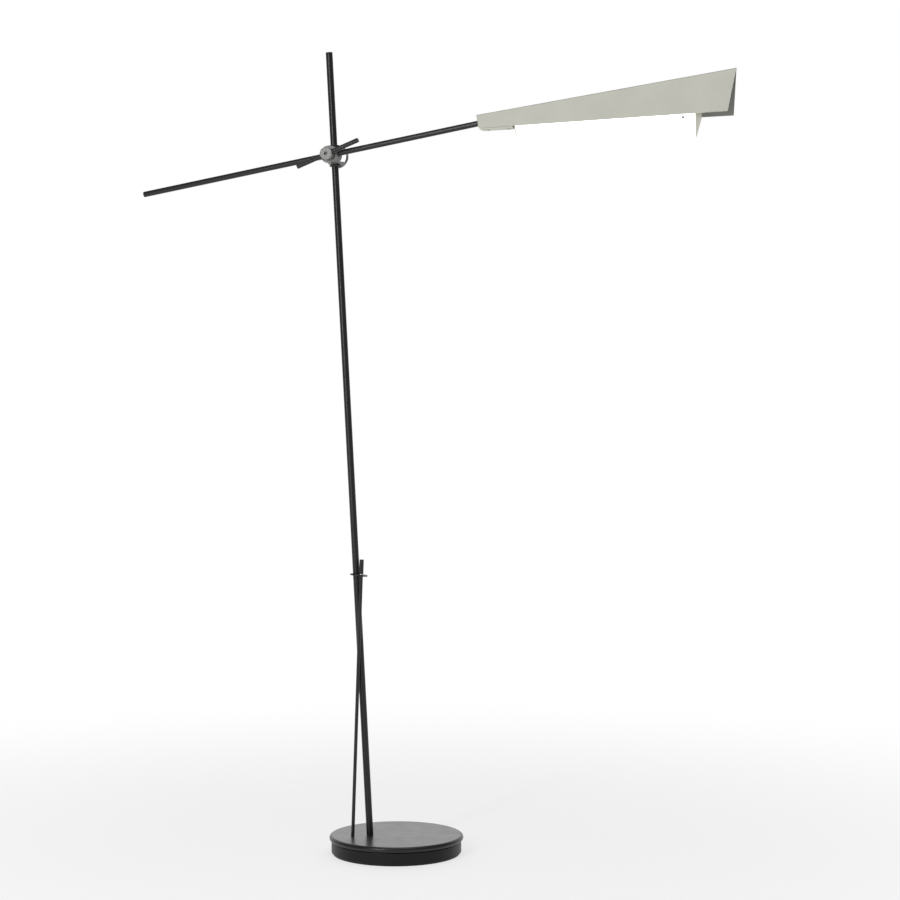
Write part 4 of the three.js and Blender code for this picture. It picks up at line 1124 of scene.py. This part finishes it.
def make_neck():
    top = -GAP
    bottom = top - NECK_PLATE_THICKNESS
    ends = []
    for x in NECK_PLATE:
        half = outside_half(x, 0)
        outline = rounded([(-half, bottom), (half, bottom), (half, top), (-half, top)], 0.4, closed=True)
        ends.append([(x, y, z) for y, z in outline])
    tools = []
    for x in NECK_SCREWS:
        hole = rod(NECK_SCREW_RADIUS + GAP, bottom - OVERRUN, OVERRUN, steps=COARSE_STEPS)
        tools.append(laid(hole, UPRIGHT, x))
    piece("painted_neck_plate", carve(loft(*ends), tools), on_head, "arm", shade_paint, ["neck_plate"])

    head_top = bottom - GAP
    head_bottom = head_top - NECK_SCREW_HEAD_THICKNESS
    for number, x in enumerate(NECK_SCREWS, start=1):
        profile = [
            (0, head_bottom), (NECK_SCREW_HEAD, head_bottom), (NECK_SCREW_HEAD, head_top),
            (NECK_SCREW_RADIUS, head_top), (NECK_SCREW_RADIUS, NECK_SCREW_TOP), (0, NECK_SCREW_TOP),
        ]
        screw = lathed(profile, [0, 0.8, 0.1, 0, 0.3, 0], steps=MEDIUM_STEPS)
        socket = rod(NECK_SOCKET, head_bottom - OVERRUN, head_bottom + NECK_SOCKET_DEPTH, steps=HEXAGON)
        node = f"neck_screw_{number}"
        matrix = shifted(on_head, x)
        piece(f"domed_{node}", carve(screw, [socket]), matrix, "arm", shade_paint, [node])


def apex_depth(x):
    share = (x - DIFFUSER[0]) / (DIFFUSER[1] - DIFFUSER[0])
    return APEX_DEPTHS[0] + share * (APEX_DEPTHS[1] - APEX_DEPTHS[0])


def diffuser_outline(x):
    half = inside_half(x, 0)
    flange = inside_half(x, DIFFUSER_FLANGE)
    return [(-flange, DIFFUSER_FLANGE), (-half, 0), (0, -apex_depth(x)), (half, 0), (flange, DIFFUSER_FLANGE)]


def diffuser_section(x, lean):
    """The wall's outside from one flange round the apex to the other, and its inside on the way back."""
    half = inside_half(x, 0)
    depth = apex_depth(x)
    side = math.hypot(half, depth)
    across = DIFFUSER_WALL / math.cos(PANEL_ANGLE)
    corner = (DIFFUSER_WALL * side - across * depth) / half
    flange = inside_half(x, DIFFUSER_FLANGE) - across
    inside = [
        (flange, DIFFUSER_FLANGE), (half - across, corner), (0, DIFFUSER_WALL * side / half - depth),
        (across - half, corner), (-flange, DIFFUSER_FLANGE),
    ]
    radii = [0.3, 0.8, 2.4, 0.8, 0.3, 0.3, 0.3, 0.8, 0.3, 0.3]
    outline = rounded(diffuser_outline(x) + inside, radii, closed=True)
    return [(x + lean * z, y, z) for y, z in outline]


def end_plate(x, lean):
    outline = rounded(diffuser_outline(x), [0.4, 0.8, 2.4, 0.8, 0.4], closed=True)
    first = [(x + lean * z, y, z) for y, z in outline]
    return loft(first, [(px + END_PLATE, y, z) for px, y, z in first])


def switch_frame():
    """The switch's frame: Z points out of the diffuser's front side, square to it."""
    half = inside_half(SWITCH_AT, 0)
    depth = apex_depth(SWITCH_AT)
    side = math.hypot(half, depth)
    y = -half + SWITCH_DROP * half / side
    z = -SWITCH_DROP * depth / side
    turn = math.pi / 2 + math.atan2(half, depth)
    return shifted(on_head, SWITCH_AT, y, z) @ Matrix.Rotation(turn, 4, "X")


def make_light():
    on_switch = switch_frame()
    hole = rod(BUTTON_RADIUS + GAP, -2 * DIFFUSER_WALL, 2 * DIFFUSER_WALL, steps=MEDIUM_STEPS)
    body = loft(diffuser_section(DIFFUSER[0], 0), diffuser_section(DIFFUSER[1], END_LEAN))
    mesh = carve(body, [carried(hole, on_switch, on_head)])
    piece("opal_diffuser_shell", mesh, on_head, "arm", opal, ["diffuser"])

    inner = end_plate(DIFFUSER[0] - GAP - END_PLATE, 0)
    piece("inner_end_plate", inner, on_head, "arm", pale_plastic, ["diffuser_end_inner"])
    outer = end_plate(DIFFUSER[1] + GAP, END_LEAN)
    piece("outer_end_plate", outer, on_head, "arm", pale_plastic, ["diffuser_end_outer"])

    top = CARRIER_HEIGHT + CARRIER_THICKNESS
    carrier = loft(*(filled(x, CARRIER_HEIGHT, top, 0.3) for x in CARRIER))
    piece("extruded_led_carrier", carrier, on_head, "arm", aluminium, ["led_carrier"])

    stem = BUTTON_REAR - BUTTON_STEM_LENGTH
    profile = [
        (0, stem), (BUTTON_STEM, stem), (BUTTON_STEM, BUTTON_REAR),
        (BUTTON_RADIUS, BUTTON_REAR), (BUTTON_RADIUS, BUTTON_STAND_OUT), (0, BUTTON_STAND_OUT),
    ]
    button = lathed(profile, [0, 0.3, 0, 0.2, 0.8, 0], steps=FINE_STEPS)
    piece("push_button", button, on_switch, "button", button_plastic, ["switch_button"])


# ------------------------ studio, in metres

FLOOR_RADIUS = 14
FLOOR_DROP = 0.0002              # so that the felt doesn't lie in the floor's own plane
FLOOR_FADE = (0.25, 2.0)         # distances from the middle, over which the floor turns white
FLOOR_GLOW = (0.65, 1)           # and how far it has turned at each
BACK_OF_ROOM = (0.2, 0.95)       # how far back a direction points, where the light rises and is full
STUDIO_MIDDLE = (0, 0, 0.75)
CAMERA_PLACE = (0.0945, -3.6, 0.7672)
CAMERA_PITCH = math.radians(-0.9)
CAMERA_LENS = 81.86
SENSOR_WIDTH = 36
CAMERA_FAR = 60


def make_floor():
    """A pale floor that fades into the background before its far edge."""
    mesh = bmesh.new()
    bmesh.ops.create_circle(mesh, cap_ends=True, radius=FLOOR_RADIUS, segments=ROUND)
    floor = as_object(mesh, "studio_floor")
    floor.location.z = -FLOOR_DROP
    surface = Surface("floor_paint", None, (0.9, 0.9, 0.895), 0.8, specular=0.1)
    surface.tint(surface.noise(1.5, 3), (0.9, 0.9, 0.895), (0.92, 0.92, 0.915))
    distance = surface.add("VectorMath")
    distance.operation = "LENGTH"
    surface.link(surface.where, distance, 0)
    fade = ramp(surface.tree, distance.outputs["Value"], FLOOR_FADE, FLOOR_GLOW)
    glow = surface.add("Emission")
    glow.inputs["Strength"].default_value = 1
    mix = surface.add("MixShader")
    surface.link(fade, mix, 0)
    surface.link(surface.shader.outputs["BSDF"], mix, 1)
    surface.link(glow.outputs["Emission"], mix, 2)
    surface.link(mix.outputs["Shader"], surface.tree.nodes["Material Output"], "Surface")
    floor.data.materials.append(by_object(surface.material))


def make_world(seen, dark, bright):
    """A pale background behind a studio that is bright at the back and dark in front and at the sides."""
    world = bpy.data.worlds.new("studio")
    bpy.context.scene.world = world
    world.use_nodes = True
    tree = world.node_tree
    direction = tree.nodes.new("ShaderNodeTexCoord").outputs["Generated"]
    apart = tree.nodes.new("ShaderNodeSeparateXYZ")
    tree.links.new(direction, apart.inputs[0])
    backwards = ramp(tree, apart.outputs["Y"], BACK_OF_ROOM, (dark, bright))
    background = tree.nodes["Background"]
    background.inputs["Color"].default_value = (1, 1, 0.995, 1)
    tree.links.new(backwards, background.inputs["Strength"])
    shown = tree.nodes.new("ShaderNodeBackground")
    shown.inputs["Color"].default_value = (1, 1, 1, 1)
    shown.inputs["Strength"].default_value = seen
    path = tree.nodes.new("ShaderNodeLightPath")
    mix = tree.nodes.new("ShaderNodeMixShader")
    tree.links.new(path.outputs["Is Camera Ray"], mix.inputs["Fac"])
    tree.links.new(background.outputs["Background"], mix.inputs[1])
    tree.links.new(shown.outputs["Background"], mix.inputs[2])
    tree.links.new(mix.outputs["Shader"], tree.nodes["World Output"].inputs["Surface"])


def make_softbox(name, position, size, power):
    """A rectangular light of (width, height) that faces the middle of the lamp."""
    light = bpy.data.lights.new(name, "AREA")
    light.shape = "RECTANGLE"
    light.size = size[0]
    light.size_y = size[1]
    light.energy = power
    lamp = bpy.data.objects.new(name, light)
    bpy.context.scene.collection.objects.link(lamp)
    lamp.location = position
    lamp.rotation_euler = (Vector(STUDIO_MIDDLE) - Vector(position)).to_track_quat("-Z", "Y").to_euler()


def make_camera():
    data = bpy.data.cameras.new("camera")
    data.sensor_width = SENSOR_WIDTH
    data.lens = CAMERA_LENS
    data.clip_end = CAMERA_FAR
    camera = bpy.data.objects.new("camera", data)
    bpy.context.scene.collection.objects.link(camera)
    camera.location = CAMERA_PLACE
    camera.rotation_euler = (math.pi / 2 + CAMERA_PITCH, 0, 0)
    bpy.context.scene.camera = camera


make_camera()
finish_cad_nodes()
make_base_plate()
make_base_drum()
make_base_felt()
make_gland()
make_pole()
make_tie_disc()
make_brace()
make_cage()
make_bush("upper_flanged_bush", 1, "upper_bush")
make_bush("lower_flanged_bush", -1, "lower_bush")
make_swivel_rings()
make_collar()
make_knob()
make_arm()
make_shade()
make_head_block()
make_neck()
make_light()
make_floor()
make_world(seen=1.0, dark=0.22, bright=1.1)
make_softbox("key_softbox", (-1.5, -2.6, 1.6), (0.32, 2.2), 40)
make_softbox("top_softbox", (0.4, -0.6, 3.6), (2.4, 2.4), 30)
bpy.context.scene.view_settings.view_transform = "Standard"
